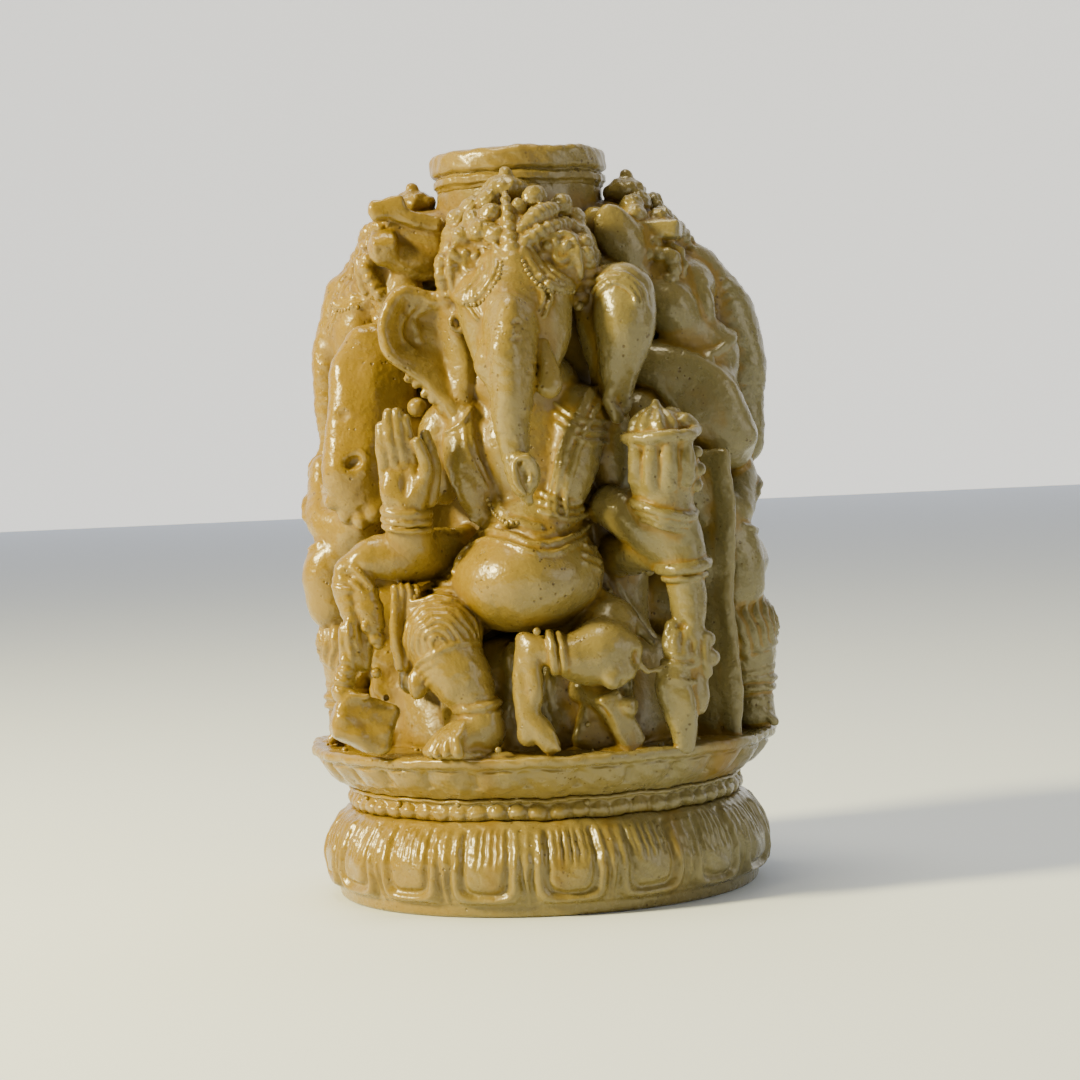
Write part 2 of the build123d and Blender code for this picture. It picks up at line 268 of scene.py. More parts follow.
class Lump:
    # one piece of the casting, on its own block of the grid

    def __init__(self, name, low, high, under=()):
        self.name = name
        self.under = under
        self.block = blockOf(np.array(low, float) - clay["reach"], np.array(high, float) + clay["reach"])
        self.field = np.full([s.stop - s.start for s in self.block], clay["reach"], np.float32)

    def window(self, form):
        wanted = blockOf(form.low - clay["reach"], form.high + clay["reach"])
        cut = [slice(max(w.start, s.start), min(w.stop, s.stop)) for w, s in zip(wanted, self.block)]
        if any(c.start >= c.stop for c in cut):
            return None, None
        x, y, z = (gridLines[i][cut[i]] for i in range(3))
        return (tuple(slice(c.start - s.start, c.stop - s.start) for c, s in zip(cut, self.block)),
                (x[:, None, None], y[None, :, None], z[None, None, :]))

    def add(self, *forms, soft=0.6):
        for form in forms:
            where, xyz = self.window(form)
            if where is not None:
                d = form.distance(*xyz).astype(np.float32)
                self.field[where] = softMin(self.field[where], d, soft)
        return self

    def carve(self, *forms, soft=0.3):
        for form in forms:
            where, xyz = self.window(form)
            if where is not None:
                d = form.distance(*xyz).astype(np.float32)
                self.field[where] = -softMin(-self.field[where], d, soft)
        return self

    def front(self, x, z):
        # the Y of the surface seen from -Y at this X and Z, on this piece or those it lies on
        found = [y for y in (lump.ownFront(x, z) for lump in (self, *self.under)) if y is not None]
        return min(found) if found else None

    def ownFront(self, x, z):
        i = min(max(int(round((x - sideLine[0]) / cell)) - self.block[0].start, 0), self.field.shape[0] - 1)
        k = min(max(int(round((z - heightLine[0]) / cell)) - self.block[2].start, 0), self.field.shape[2] - 1)
        line = self.field[i, :, k]
        hits = np.nonzero(line < 0)[0]
        if len(hits) == 0:
            return None
        j = hits[0]
        y = sideLine[self.block[1].start + j]
        if j == 0:
            return float(y)
        return float(y - cell * line[j] / (line[j] - line[j - 1]))

    def trace(self, points, lift=0.0, steps=5):
        # a line drawn on the front of the piece through X, Z points
        found = [(x, self.front(x, z), z) for x, z in smoothPath(points, steps)]
        return [(x, y - lift, z) for x, y, z in found if y is not None]

    def line(self, points, radius, lift=0.1, soft=0.35):
        self.add(rod(self.trace(points, lift), radius, steps=1), soft=soft)

    def groove(self, points, radius, lift=0.1, soft=0.25):
        self.carve(rod(self.trace(points, lift), radius, steps=1), soft=soft)

    def turned(self, name, quarter):
        twin = Lump.__new__(Lump)
        twin.name = name
        twin.field = np.rot90(self.field, quarter, axes=(0, 1))
        block = self.block
        for _ in range(quarter % 4):
            block = (slice(sideCells - block[1].stop, sideCells - block[1].start), block[0], block[2])
        twin.block = block
        return twin

    def mirrored(self, name):
        twin = Lump.__new__(Lump)
        twin.name = name
        twin.field = self.field[::-1]
        across = self.block[0]
        twin.block = (slice(sideCells - across.stop, sideCells - across.start), *self.block[1:])
        return twin


def ripples(pitch, depth, point):
    # rings spreading from a point
    def relief(u, v, w):
        far = np.sqrt((u - point[0]) ** 2 + (v - point[1]) ** 2 + (w - point[2]) ** 2)
        far = far + 0.22 * np.sin(0.9 * u - 0.7 * w) + 0.14 * np.sin(1.7 * w + 1.1 * u)
        return depth * np.cos(far * (2 * math.pi / pitch))
    return relief


def rings(pitch, depth):
    # bands across a limb
    def relief(along):
        return depth * np.cos(along * (2 * math.pi / pitch))
    return relief


def pleats(pitch, depth, axis):
    # straight folds, counted along one axis of the form
    def relief(*point):
        return depth * np.cos(point[axis] * (2 * math.pi / pitch))
    return relief


def spokes(count, depth, inner=0.0, outer=0.0, twist=0.0):
    # ribs round the form's own Z, fading towards its middle
    def relief(u, v, w):
        share = ease(np.hypot(u, v), inner, outer) if outer else 1
        return depth * np.cos(np.arctan2(v, u) * count + twist * w) * share
    return relief


def unevenness(*waves):
    # low waves over a form: how high each is, and how fast it runs along the form's own axes
    def relief(u, v, w):
        return sum(height * np.sin(a * u + b * v + c * w) for height, a, b, c in waves)
    return relief


def merged(into, other, soft):
    # a piece's field taken into another's
    where = tuple(slice(o.start - s.start, o.stop - s.start) for o, s in zip(other.block, into.block))
    into.field[where] = softMin(into.field[where], other.field, soft)


def roundOf(x, z, radius, start, stop, count):
    # points of an arc in X and Z, angles in degrees from +X towards +Z
    angles = np.radians(np.linspace(start, stop, count))
    return [(x + radius * math.cos(a), z + radius * math.sin(a)) for a in angles]


pearlLines = {}  # strings of beads, by figure part: lists of (path, radius, spacing in diameters)


def string(part, lump, points, radius, spacing=1.0, lift=0.05):
    pearlLines.setdefault(part, []).append((np.array(lump.trace(points, lift, 6)), radius, spacing))


# the figures' parts, all facing -Y
def makeHead():
    lump = Lump("head", (-12, -36, 78), (12, -3, 110))
    lump.add(
        ball((-0.6, -16.0, 95), (8.8, 12.3, 10.5)),
        ball((-0.8, -23.8, 94.8), (7.4, 6.4, 6.8)),
        soft=2.5,
    )
    for cheek in ([(-5.8, -25.6, 95.5), (-5.3, -26.6, 90.6), (-4.2, -27.8, 85)],
                  [(5.0, -25.4, 96.0), (4.9, -26.4, 91), (4.1, -27.6, 85.5)]):
        lump.add(rod(cheek, [3.5, 3.3, 2.5]), soft=2.4)
    lump.add(rod([(-0.4, -25.6, 100), (-0.7, -28.2, 95.5), (-0.9, -30.0, 91.5)], [3.6, 4.2, 3.6]), soft=2.6)
    lump.add(rod([(-0.3, -19, 88), (-0.5, -23.5, 82)], [6.4, 4.0]), soft=2.5)
    lump.add(ball((0.2, -27.0, 91.2), (7.3, 4.8, 7.4)), soft=2.4)
    # the lids and the slit of each eye
    for side, x in ((-1, -7.0), (1, 5.0)):
        outer = [(x + side * 0.2, 96.4), (x + side * 0.5, 94.4), (x - side * 0.9, 91.7)]
        inner = [(x - side * 0.8, 95.9), (x - side * 0.5, 94.2), (x - side * 1.5, 92.3)]
        slit = [(x - side * 0.3, 96.0), (x, 94.3), (x - side * 1.2, 92.1)]
        lump.line(outer, 0.42, 0.15, 0.3)
        lump.line(inner, 0.36, 0.12, 0.3)
        lump.groove(slit, 0.3, 0.05, 0.2)
    for step in range(3):
        lump.line([(2.2 + 0.3 * step, 99.2 - 0.9 * step), (4.0, 97.6 - 0.8 * step), (6.2, 97.2 - 0.7 * step)],
                  0.26, 0.05, 0.2)
    strand = [(7.4, -24.4, 97), (7.2, -25.0, 93.5), (6.9, -25.4, 90), (6.0, -26.0, 86.4)]
    pearlLines.setdefault("head", []).append((smoothPath(strand, 6), 0.5, 0.95))
    return lump


def makeTrunk(line, radii):
    lump = Lump("trunk", (-9, -41, 60), (8, -24, 101))
    lump.add(rod(line, radii, rings(1.5, 0.07)))
    return lump


def makeFrontTrunk():
    lump = makeTrunk([(-0.5, -28.6, 96), (-0.9, -31.6, 91.5), (-1.05, -33.5, 86.5), (-1.1, -34.2, 80),
                      (-1.25, -34.2, 74.8), (-1.0, -34.5, 70.3), (-0.3, -34.9, 66.8), (0.8, -35.2, 63.8)],
                     [2.6, 4.0, 4.0, 3.4, 2.75, 2.15, 1.7, 0.9])
    lump.add(rod([(-1.0, -34.6, 93.0), (-1.5, -36.6, 87.4), (-1.2, -36.6, 80)], [1.7, 1.9, 1.4]), soft=1.8)
    lump.add(rod([(-3.6, -32.8, 88.3), (-4.7, -33.5, 85.0), (-3.8, -33.9, 81.4)], [1.2, 1.8, 1.0]), soft=1.0)
    for z in (90.4, 89.1, 87.9):
        lump.groove([(-3.4, z + 0.3), (-1.2, z - 0.2), (0.9, z + 0.3)], 0.24)
    return lump


def makeTusks():
    lump = Lump("tusks", (-8, -37, 78), (8, -27, 91))
    lump.add(rod([(3.4, -31.0, 87.2), (4.6, -32.2, 84.0), (4.6, -33.2, 81.2)], [1.2, 1.6, 2.05]))
    lump.add(rod([(-5.2, -31.0, 87.6), (-5.4, -32.6, 84.2)], [1.0, 1.1]))
    return lump


def makeTrunkSweet():
    lump = Lump("trunk_sweet", (-3, -40, 61), (4, -32, 72))
    lump.add(ball((0.6, -36.6, 67.6), (2.2, 1.8, 3.2), (0, 6, 0), spokes(5, 0.22, twist=1)))
    lump.add(rod([(-0.9, -38.0, 69.6), (-0.8, -38.3, 67.0), (0.3, -38.0, 64.9)], [0.5, 0.6, 0.45]), soft=0.3)
    lump.add(rod([(-0.4, -38.0, 70.1), (1.1, -38.0, 70.3), (2.2, -37.6, 68.6), (2.0, -37.4, 66.2)],
                 [0.5, 0.55, 0.5, 0.4]), soft=0.3)
    lump.carve(ball((0.7, -38.7, 67.9), (0.95, 1.0, 1.7)), soft=0.3)
    return lump


temples = {
    # the middle of each, the roll of hair over it, the first arc of pearls under it, and the way to the next
    "right": {
        "middle": (-7.2, 99.4),
        "roll": [(-2.6, 105.0), (-5.8, 106.6), (-9.2, 105.5), (-10.9, 102.7), (-11.4, 98.8), (-11.0, 95.4)],
        "arc": [(-2.9, 101.6), (-3.2, 98.9), (-4.6, 96.3), (-6.9, 94.6), (-9.2, 94.9)],
        "inwards": (-0.72, 0.5),
    },
    "left": {
        "middle": (7.0, 100.6),
        "roll": [(1.8, 103.2), (4.8, 105.4), (8.0, 106.2), (10.4, 104.2), (11.3, 100.8), (11.0, 97.0)],
        "arc": [(1.9, 101.6), (3.0, 99.2), (4.8, 97.0), (7.2, 95.8), (9.6, 96.2)],
        "inwards": (0.72, 0.5),
    },
}


def makeHeaddress(head):
    lump = Lump("headdress", (-14, -33, 92), (14, 2, 117.5), (head,))
    lump.add(ball((-0.2, -12.6, 103.0), (11.6, 14.4, 8.4)))
    for side in (-1, 1):
        lump.add(rod([(side * 10.4, -16.6, 104), (side * 11.0, -19.0, 99), (side * 9.8, -22.0, 95)],
                     [2.0, 1.9, 1.5]), soft=1.0)
    for temple in temples.values():
        x, z = temple["middle"]
        lump.add(ball((x, -22.7, z), (4.6, 4.2, 4.9)), soft=1.4)
        lump.carve(ball((x, lump.front(x, z) - 0.6, z + 0.2), (3.1, 1.2, 3.3)), soft=0.5)
        lump.add(ball((x, lump.front(x, z) + 0.45, z - 0.3), (1.5, 0.9, 1.9), (0, 0, 0),
                      ripples(1.3, 0.25, (0.6, -1.0, 1.4))), soft=0.4)
        for dx, dz, size in ((-1.9, 2.3, 0.8), (-0.4, 2.9, 0.7), (1.2, 2.4, 0.75), (2.2, 1.2, 0.6),
                             (-2.4, 0.9, 0.7)):
            lump.add(ball((x + dx, lump.front(x + dx, z + dz) + 0.2, z + dz), size), soft=0.3)
        lump.add(rod(lump.trace(temple["roll"], 0.15), 1.25, rings(1.5, 0.13), steps=1), soft=0.4)
        lump.line([(x + 0.72 * (px - x), z + 0.74 * (pz - z)) for px, pz in temple["roll"][1:]],
                  0.62, 0.1, 0.3)
        for step in range(3):
            lump.line([(px + temple["inwards"][0] * step * 1.15, pz + temple["inwards"][1] * step * 1.15)
                       for px, pz in temple["arc"]], 0.44, 0.12, 0.15)
        string("headdress", lump, [(px - temple["inwards"][0] * 1.2, pz - temple["inwards"][1] * 1.2)
                                   for px, pz in temple["arc"]], 0.42, 0.98, -0.05)
    curls = [(-9.7, -18.8, 105.4, 2.1), (-8.6, -18.6, 108.0, 2.1), (-6.4, -18.4, 109.8, 2.0),
             (-3.8, -19.8, 110.6, 1.9), (-10.1, -21.4, 103.2, 1.7), (-8.0, -23.6, 105.0, 1.8),
             (-5.4, -25.0, 105.8, 1.8), (-3.0, -26.0, 104.6, 1.5), (-6.3, -22.4, 107.6, 1.8),
             (-3.6, -23.4, 108.4, 1.7), (9.9, -19.4, 104.6, 2.0), (11.1, -17.6, 101.4, 2.0),
             (11.2, -17.4, 98.0, 1.8), (9.2, -17.8, 107.2, 2.0), (-11.3, -17.4, 101.0, 1.9),
             (-11.2, -17.2, 97.6, 1.7)]
    for x, y, z, size in curls:
        outward = np.array([x, y + 12, z - 101])
        outward = outward / np.linalg.norm(outward) * size
        lump.add(ball((x, y, z), size, (0, 0, 0), ripples(1.0, 0.1, outward)), soft=0.6)
    lump.add(rod([(1.2, -26.0, 105.4), (3.6, -24.6, 107.6), (6.2, -22.4, 108.8)], [0.9, 1.55, 1.25],
                 rings(1.1, 0.1)), soft=0.2)
    for x, y, z, size in ((3.4, -21.6, 110.8, 2.0), (7.4, -19.8, 109.4, 1.8), (0.9, -23.2, 109.4, 1.2)):
        lump.add(ball((x, y, z), size, (0, 0, 0), ripples(1.0, 0.1, (0.4, -size, 0.9))), soft=0.6)
    spike = [(-0.3, -29.2, 99.0), (-0.5, -28.2, 102.0), (-0.9, -25.4, 106.5), (-1.2, -21.8, 111.4)]
    lump.add(rod(spike, [1.0, 1.35, 1.1, 0.6], rings(1.9, 0.16)), soft=0.2)
    for side in (-1, 1):
        lump.add(rod([(side * 0.4 - 0.4, -29.4, 99.4), (side * 1.5 - 0.4, -28.4, 101.4),
                      (side * 2.3 - 0.5, -27.2, 103.6)], [0.7, 0.8, 0.5]), soft=0.2)
    lump.add(ball((-1.5, -17.4, 112.6), (3.6, 3.5, 2.2), (0, 0, 0), ripples(1.7, 0.14, (0, -3.4, 0.6))),
             soft=0.5)
    lump.add(rod([(-1.4, -17.6, 113.6), (-1.3, -17.6, 115.2)], [1.7, 1.1]), soft=0.5)
    for x, z, size in ((-10.4, 96.6, 1.0), (-9.5, 95.2, 0.9), (-10.9, 94.9, 0.85), (-9.8, 93.4, 1.0),
                       (-8.7, 94.0, 0.7), (9.4, 96.2, 0.9), (8.6, 94.6, 0.8), (9.5, 93.4, 0.8)):
        lump.add(ball((x, -24.4 + 0.12 * abs(x), z), size), soft=0.15)
    lump.add(hoop((-9.2, -24.6, 91.6), (1.15, 1.25), 0.42, (90, 0, 12)), soft=0.2)
    return lump


def makeEarRight():
    outline = [(-9.0, 93.6), (-10.6, 96.2), (-13.6, 96.7), (-17.6, 98.2), (-20.2, 96.4), (-21.8, 91.4),
               (-21.2, 87.0), (-18.0, 84.4), (-15.6, 82.2), (-13.4, 79.2), (-11.2, 76.2), (-8.6, 76.0),
               (-7.6, 80.5), (-7.6, 86.5)]
    lump = Lump("ear_right", (-23, -29, 74), (-5, -15, 100))
    lump.add(flap(outline, -22.0, 1.9, 2.2, 1.7, tilt=0.15, bow=-0.8))
    lump.add(rod([(-9.6, -20.6, 92), (-9.2, -21.0, 85), (-9.6, -21.8, 78.4)], [1.9, 2.4, 1.8]), soft=1.8)
    lump.add(rod([(-14.4, -20.6, 84.4), (-11.6, -20.8, 80)], [2.2, 2.2]), soft=1.4)
    lump.add(rod([(-12.6, -23.2, 80.4), (-10.8, -23.4, 78.4), (-9.8, -23.0, 75.4)], [0.7, 1.2, 1.0]),
             soft=0.6)
    lump.line([(-16.4, 94.6), (-18.1, 92.6), (-18.3, 90.0), (-16.8, 87.8)], 0.5, 0.0, 0.7)
    lump.line([(-14.6, 94.0), (-16.2, 92.8), (-15.6, 89.6)], 0.4, 0.0, 0.6)
    for step in range(6):
        lump.add(ball((-17.6 + 1.25 * step, -22.6, 83.6 - 1.35 * step + 0.3 * (step % 2)), 0.75), soft=0.5)
    return lump


def makeEarLeft():
    lump = Lump("ear_left", (5, -31, 74), (24, -14, 102))
    lump.add(rod([(16.6, -22.6, 95.2), (16.6, -23.4, 91.0), (16.0, -23.6, 86.6), (15.2, -22.8, 82.0),
                  (15.2, -22.0, 78.4)], [4.7, 4.9, 3.9, 2.9, 2.0]), soft=1.0)
    lump.add(rod([(10.2, -20.0, 96.0), (12.8, -21.0, 96.6), (15.4, -22.0, 96.4)], [2.0, 2.6, 3.4]), soft=1.6)
    lump.add(rod([(10.2, -19.0, 95.5), (12.2, -19.2, 88), (14.2, -19.4, 78.5)], [2.4, 2.8, 2.6]), soft=1.8)
    for radius in (3.3, 4.1, 4.9):
        lump.line(roundOf(15.2, 93.2, radius, 4, 150, 12), 0.36, 0.14, 0.25)
    lump.add(rod([(15.0, -25.0, 82.0), (13.6, -24.4, 78.6), (14.6, -23.6, 76.0)], [0.9, 1.0, 1.1]), soft=0.8)
    return lump


def makeTorso():
    lump = Lump("torso", (-18, -40, 41), (19, -6, 87))
    lump.add(
        ball((-0.3, -24.2, 51.6), (11.9, 13.9, 8.5), (0, -4, 0)),
        ball((1.2, -20.4, 60.0), (8.7, 10.4, 6.4)),
        soft=2.2,
    )
    lump.add(
        ball((0.8, -17.6, 71.5), (10.6, 9.8, 11.5)),
        ball((-1.0, -20.2, 71.0), (6.6, 7.6, 9.6)),
        ball((0, -18.6, 82), (8.5, 8.5, 5.5)),
        soft=2.5,
    )
    lump.add(rod([(-8.8, -21.4, 77.0), (-9.4, -24.0, 71.5), (-8.7, -25.2, 66.2), (-7.4, -24.8, 62.4)],
                 [3.2, 3.2, 2.7, 1.8]), soft=1.4)
    lump.add(rod([(8.8, -21.6, 77.4), (8.2, -24.4, 71.8), (6.9, -25.6, 66.4), (5.6, -25.0, 62.8)],
                 [4.0, 4.2, 3.5, 2.3]), soft=1.4)
    for side in (-1, 1):
        lump.add(rod([(side * 9.0, -17, 77.5), (side * 12.6, -18.6, 74.5), (side * 13.6, -18.4, 67)],
                     [4.2, 4.3, 3.6]), soft=1.4)
    # the waist and the cloth knotted round it
    belt = [(-11.2, 54.4), (-10.0, 57.2), (-6.6, 59.2), (-2.6, 58.6), (1.6, 57.2), (6.0, 57.4), (10.4, 59.8)]
    for drop in (0.0, 1.3):
        lump.line([(x * (1 + 0.02 * drop), z - drop) for x, z in belt], 0.5, 0.1, 0.4)
    lump.groove([(x, z + 1.0) for x, z in belt[1:]], 0.5, 0.15, 0.5)
    lump.line([(-8.4, 61.2), (-5.0, 59.8), (-1.6, 60.6), (2.0, 59.6)], 0.6, 0.0, 0.5)
    for step in range(3):
        lump.line([(2.6, 64.6 - 1.2 * step), (6.4, 62.8 - 1.15 * step), (10.4, 63.6 - 1.1 * step)],
                  0.45, 0.1, 0.25)
    for z in (55.6, 54.3, 53.0):
        lump.line([(8.8, z + 0.9), (10.4, z), (11.6, z - 0.9)], 0.42, 0.0, 0.35)
    # cords over the breasts
    rightCord = [(-8.4, 78.0), (-8.0, 73.6), (-6.8, 69.4), (-5.2, 65.6), (-3.6, 62.6), (-2.2, 60.4)]
    leftCord = [(10.6, 80.5), (7.4, 74.5), (5.0, 68.8), (4.0, 64.4), (3.8, 61.4)]
    for offset in (0.0, -0.9):
        lump.line([(x + offset, z) for x, z in rightCord], 0.4, 0.05, 0.5)
    for offset in (0.0, 0.9, 2.6):
        lump.line([(x + offset, z) for x, z in leftCord], 0.36, 0.05, 0.5)
    for step in range(3):
        lump.line([(5.2, 78.4 - 1.5 * step), (9.2, 75.8 - 1.5 * step), (12.8, 75.2 - 1.6 * step)],
                  0.32, 0.05, 0.45)
    lump.line([(-7.8, 78.4), (-10.0, 75.6), (-12.2, 74.6)], 0.36, 0.1, 0.25)
    return lump


def makeBentLeg():
    lump = Lump("bent_leg", (-23, -40, 23.5), (-1, -9, 55))
    kneeCap = (-0.3, -6.4, -1.0)
    lump.add(ball((-13.6, -28.6, 43.4), (6.2, 6.7, 6.8), (0, 0, 0), ripples(1.2, 0.17, kneeCap)))
    lump.add(rod([(-7.5, -17, 50), (-11.2, -23.5, 47.4)], [5.6, 5.6], rings(1.4, 0.2)), soft=1.2)
    lump.add(rod([(-12.8, -30.4, 40.0), (-10.8, -31.2, 36.6), (-8.8, -31.8, 33.4), (-8.2, -32.0, 30.4)],
                 [5.2, 4.5, 3.3, 2.9], rings(1.3, 0.05)), soft=0.7)
    for drop in range(4):
        lump.add(hoop((-13.0 + 0.35 * drop, -30.2 - 0.1 * drop, 40.2 - 1.05 * drop),
                      (5.4 - 0.28 * drop, 5.4 - 0.28 * drop), 0.36, (-16, -20, 0)), soft=0.35)
    lump.add(ball((-7.9, -31.8, 28.6), (3.4, 3.5, 3.7)), soft=0.8)
    lump.add(rod([(-8.2, -32.6, 30.0), (-11.4, -34.6, 27.6)], [3.0, 2.3]), soft=1.0)
    lump.add(ball((-11.2, -34.0, 25.6), (4.2, 2.6, 1.2)), soft=0.8)
    toes = [(-16.2, -33.2, 1.0), (-15.8, -34.7, 0.85), (-14.7, -36.0, 0.82), (-13.2, -36.9, 0.8),
            (-11.4, -37.4, 0.95)]
    for x, y, size in toes:
        root = (x * 0.36 - 6.4, y * 0.5 - 16.4, 30.0)
        lump.add(rod([root, ((x + root[0]) / 2 - 0.6, (y + root[1]) / 2 - 0.5, 27.9), (x, y, 26.0)],
                     [size * 0.85, size * 0.95, size]), soft=0.12)
    lump.add(hoop((-8.5, -31.8, 32.6), (3.35, 3.3), 0.6, (0, -8, 0)), soft=0.3)
    lump.add(hoop((-8.2, -31.9, 31.2), (3.1, 3.1), 0.5, (0, -8, 0)), soft=0.3)
    # the skirt's fall beside the knee
    lump.add(slab((-19.3, -27.4, 44.8), (1.9, 2.6, 6.8), 1.2, (0, 5, 10), pleats(1.25, 0.22, 0)), soft=0.5)
    lump.add(slab((-18.6, -24.0, 42.4), (2.2, 4.0, 8.0), 1.4, (0, 4, 8)), soft=0.8)
    lump.add(rod([(-20.6, -29.4, 51.0), (-20.9, -30.0, 45), (-20.4, -29.8, 38.8)], [0.7, 0.85, 0.75]),
             soft=0.3)
    for step in range(5):
        lump.line([(-18.2 + 0.5 * step, 48.6 + 1.0 * step), (-13.2, 49.6 + 0.95 * step),
                   (-8.0, 47.0 + 1.1 * step)],
                  0.45, 0.05, 0.3)
    lump.add(ball((-17.7, -31.0, 36.4), (1.7, 1.6, 2.6)), soft=0.3)
    return lump


def makeFoldedLeg():
    lump = Lump("folded_leg", (-5, -40, 23.5), (21, -9, 52))
    lump.add(ball((11.2, -31.2, 40.2), (5.6, 5.4, 5.0), (0, 16, 0)))
    lump.add(ball((8.4, -32.4, 39.2), (4.2, 4.2, 4.1)), soft=1.8)
    lump.add(rod([(6, -18, 46), (11.6, -26.5, 43.5)], [5.6, 4.8]), soft=1.5)
    for x, y, z, size in ((15.2, -32.6, 40.6, 1.6), (14.6, -33.8, 37.2, 1.5), (12.4, -34.6, 36.2, 1.7)):
        lump.add(ball((x, y, z), size), soft=1.4)
    lump.carve(ball((16.2, -34.4, 39.2), (0.9, 1.2, 1.3)), ball((14.6, -35.6, 35.4), (0.9, 0.9, 0.7)),
               soft=0.6)
    lump.add(rod([(6.4, -33.8, 39.8), (3.6, -34.2, 40.6), (0.4, -34.0, 41.2)], [3.3, 2.5, 2.1]), soft=0.8)
    lump.add(hoop((3.4, -34.2, 40.6), (2.95, 2.85), 0.65, (0, 84, 0)), soft=0.25)
    lump.add(hoop((4.9, -34.1, 40.3), (3.1, 3.0), 0.5, (0, 84, 0)), soft=0.25)
    # the foot that hangs, sole forwards
    lump.add(rod([(-0.6, -33.4, 42.2), (-1.2, -34.0, 38.0), (-1.3, -34.2, 33.0), (-0.9, -34.6, 28.0)],
                 [1.7, 1.7, 1.6, 1.8]), soft=0.7)
    lump.add(rod([(0.0, -34.8, 40.0), (0.6, -35.2, 35.0), (-0.2, -34.8, 31.6)], [1.5, 1.3, 1.2]), soft=0.6)
    lump.add(rod([(-0.8, -34.6, 31.0), (1.2, -35.2, 28.6), (2.6, -35.4, 26.6)], [1.7, 1.9, 1.5]), soft=0.5)
    lump.carve(rod([(0.9, -36.8, 32.4), (2.0, -37.0, 30.0)], [0.5, 0.5]), soft=0.4)
    for step in range(4):
        lump.add(rod([(0.9 + 0.5 * step, -35.8, 30.4 - 0.6 * step),
                      (2.7 + 0.3 * step, -36.3, 28.4 - 0.75 * step)],
                     [0.5, 0.62]), soft=0.15)
    # the edge of the seat under the thigh, and the thin flash at the knee's end
    lump.add(rod([(7.6, -24.6, 50.4), (13.2, -26.0, 46.6), (18.6, -27.0, 41.2)], [0.8, 1.0, 0.7]), soft=1.2)
    lump.add(rod([(15.6, -32.6, 39.0), (17.6, -32.0, 36.8), (20.0, -31.0, 37.2)], [0.8, 0.45, 0.35]),
             soft=0.4)
    return lump


def fingers(lump, roots, tips, radius, soft=0.15):
    for root, tip in zip(roots, tips):
        bend = tuple((a + b) / 2 + c for a, b, c in zip(root, tip, (0, -0.3, 0)))
        lump.add(rod([root, bend, tip], [radius, radius * 1.04, radius * 0.82]), soft=soft)


def makeBlessingArm():
    lump = Lump("blessing_arm", (-24, -36, 49), (-11, -20, 81))
    lump.add(rod([(-16.6, -23.6, 55.6), (-17.8, -26.4, 57.6), (-18.3, -28.2, 60.6), (-18.4, -29.2, 64.0)],
                 [3.2, 3.7, 3.5, 3.0]), soft=1.0)
    lump.add(ball((-18.5, -29.6, 67.2), (3.9, 2.1, 4.6)), soft=1.2)
    lump.add(ball((-20.5, -30.9, 66.4), (1.5, 1.1, 2.8)), ball((-16.3, -30.9, 65.6), (1.7, 1.3, 2.8)),
             soft=0.7)
    lump.carve(ball((-18.2, -32.0, 67.6), (0.8, 0.9, 2.2)), soft=0.7)
    fingers(lump,
            [(-21.4, -30.0, 69.0), (-19.8, -30.2, 69.4), (-18.2, -30.2, 69.4), (-16.8, -29.8, 69.2)],
            [(-21.5, -30.6, 76.2), (-20.5, -31.0, 78.0), (-19.1, -31.0, 78.1), (-17.8, -30.7, 77.0)], 1.0)
    lump.add(rod([(-15.9, -30.8, 65.6), (-14.9, -31.4, 69.4), (-15.8, -31.8, 73.2)], [1.4, 1.1, 1.0]),
             soft=0.3)
    lump.add(rod([(-14.5, -29.2, 64.6), (-14.0, -29.4, 70), (-14.8, -29.6, 74.6)], [1.2, 1.25, 0.9]),
             soft=0.4)
    lump.groove([(-21.6, 69.6), (-19.6, 69.2), (-17.6, 69.4)], 0.25, 0.05, 0.15)
    for height, size, thick in ((62.9, 3.5, 0.7), (61.6, 3.65, 0.5), (60.4, 3.7, 0.42)):
        lump.add(hoop((-18.3, -28.9, height), (size - 0.1, size - 0.35), thick, (10, 6, 0)), soft=0.45)
    return lump


def makeAxeArm():
    lump = Lump("axe_arm", (-32, -34, 33), (-4, -7, 61))
    lump.add(rod([(-6.5, -9.5, 56.5), (-13.0, -19.5, 56.0), (-18.5, -25.0, 55.6), (-24.0, -26.8, 55.8),
                  (-27.4, -27.2, 54.4)], [3.4, 3.9, 3.9, 3.3, 2.4]), soft=0.8)
    lump.add(rod([(-28.2, -27.6, 54.0), (-28.4, -28.2, 50.4), (-27.6, -28.8, 46.4)], [1.9, 1.9, 1.4],
                 rings(1.6, 0.1)), soft=0.4)
    lump.add(rod([(-26.2, -27.8, 52.4), (-24.9, -28.6, 47.4), (-23.5, -29.4, 42.6)], [2.3, 2.2, 1.0],
                 rings(2.3, 0.12)), soft=0.4)
    lump.add(ball((-27.9, -29.4, 42.6), (1.9, 1.8, 4.4), (0, -4, 0), pleats(1.4, 0.14, 0)), soft=0.4)
    lump.add(ball((-26.2, -28.4, 42.0), (1.7, 1.6, 3.8)), soft=0.6)
    lump.add(hoop((-28.0, -27.8, 51.2), (2.1, 2.0), 0.55, (0, 10, 0)), soft=0.25)
    lump.add(rod([(-28.9, -28.6, 54.6), (-26.2, -29.8, 54.0), (-24.2, -29.6, 51.6)], [0.5, 0.65, 0.6]),
             soft=0.25)
    lump.add(rod([(-28.6, -28.9, 53.0), (-26.6, -30.0, 52.0), (-24.6, -29.8, 49.6)], [0.4, 0.5, 0.5]),
             soft=0.25)
    lump.add(ball((-25.2, -30.2, 45.4), 0.9), ball((-24.2, -29.4, 38.2), 0.9), soft=0.3)
    return lump


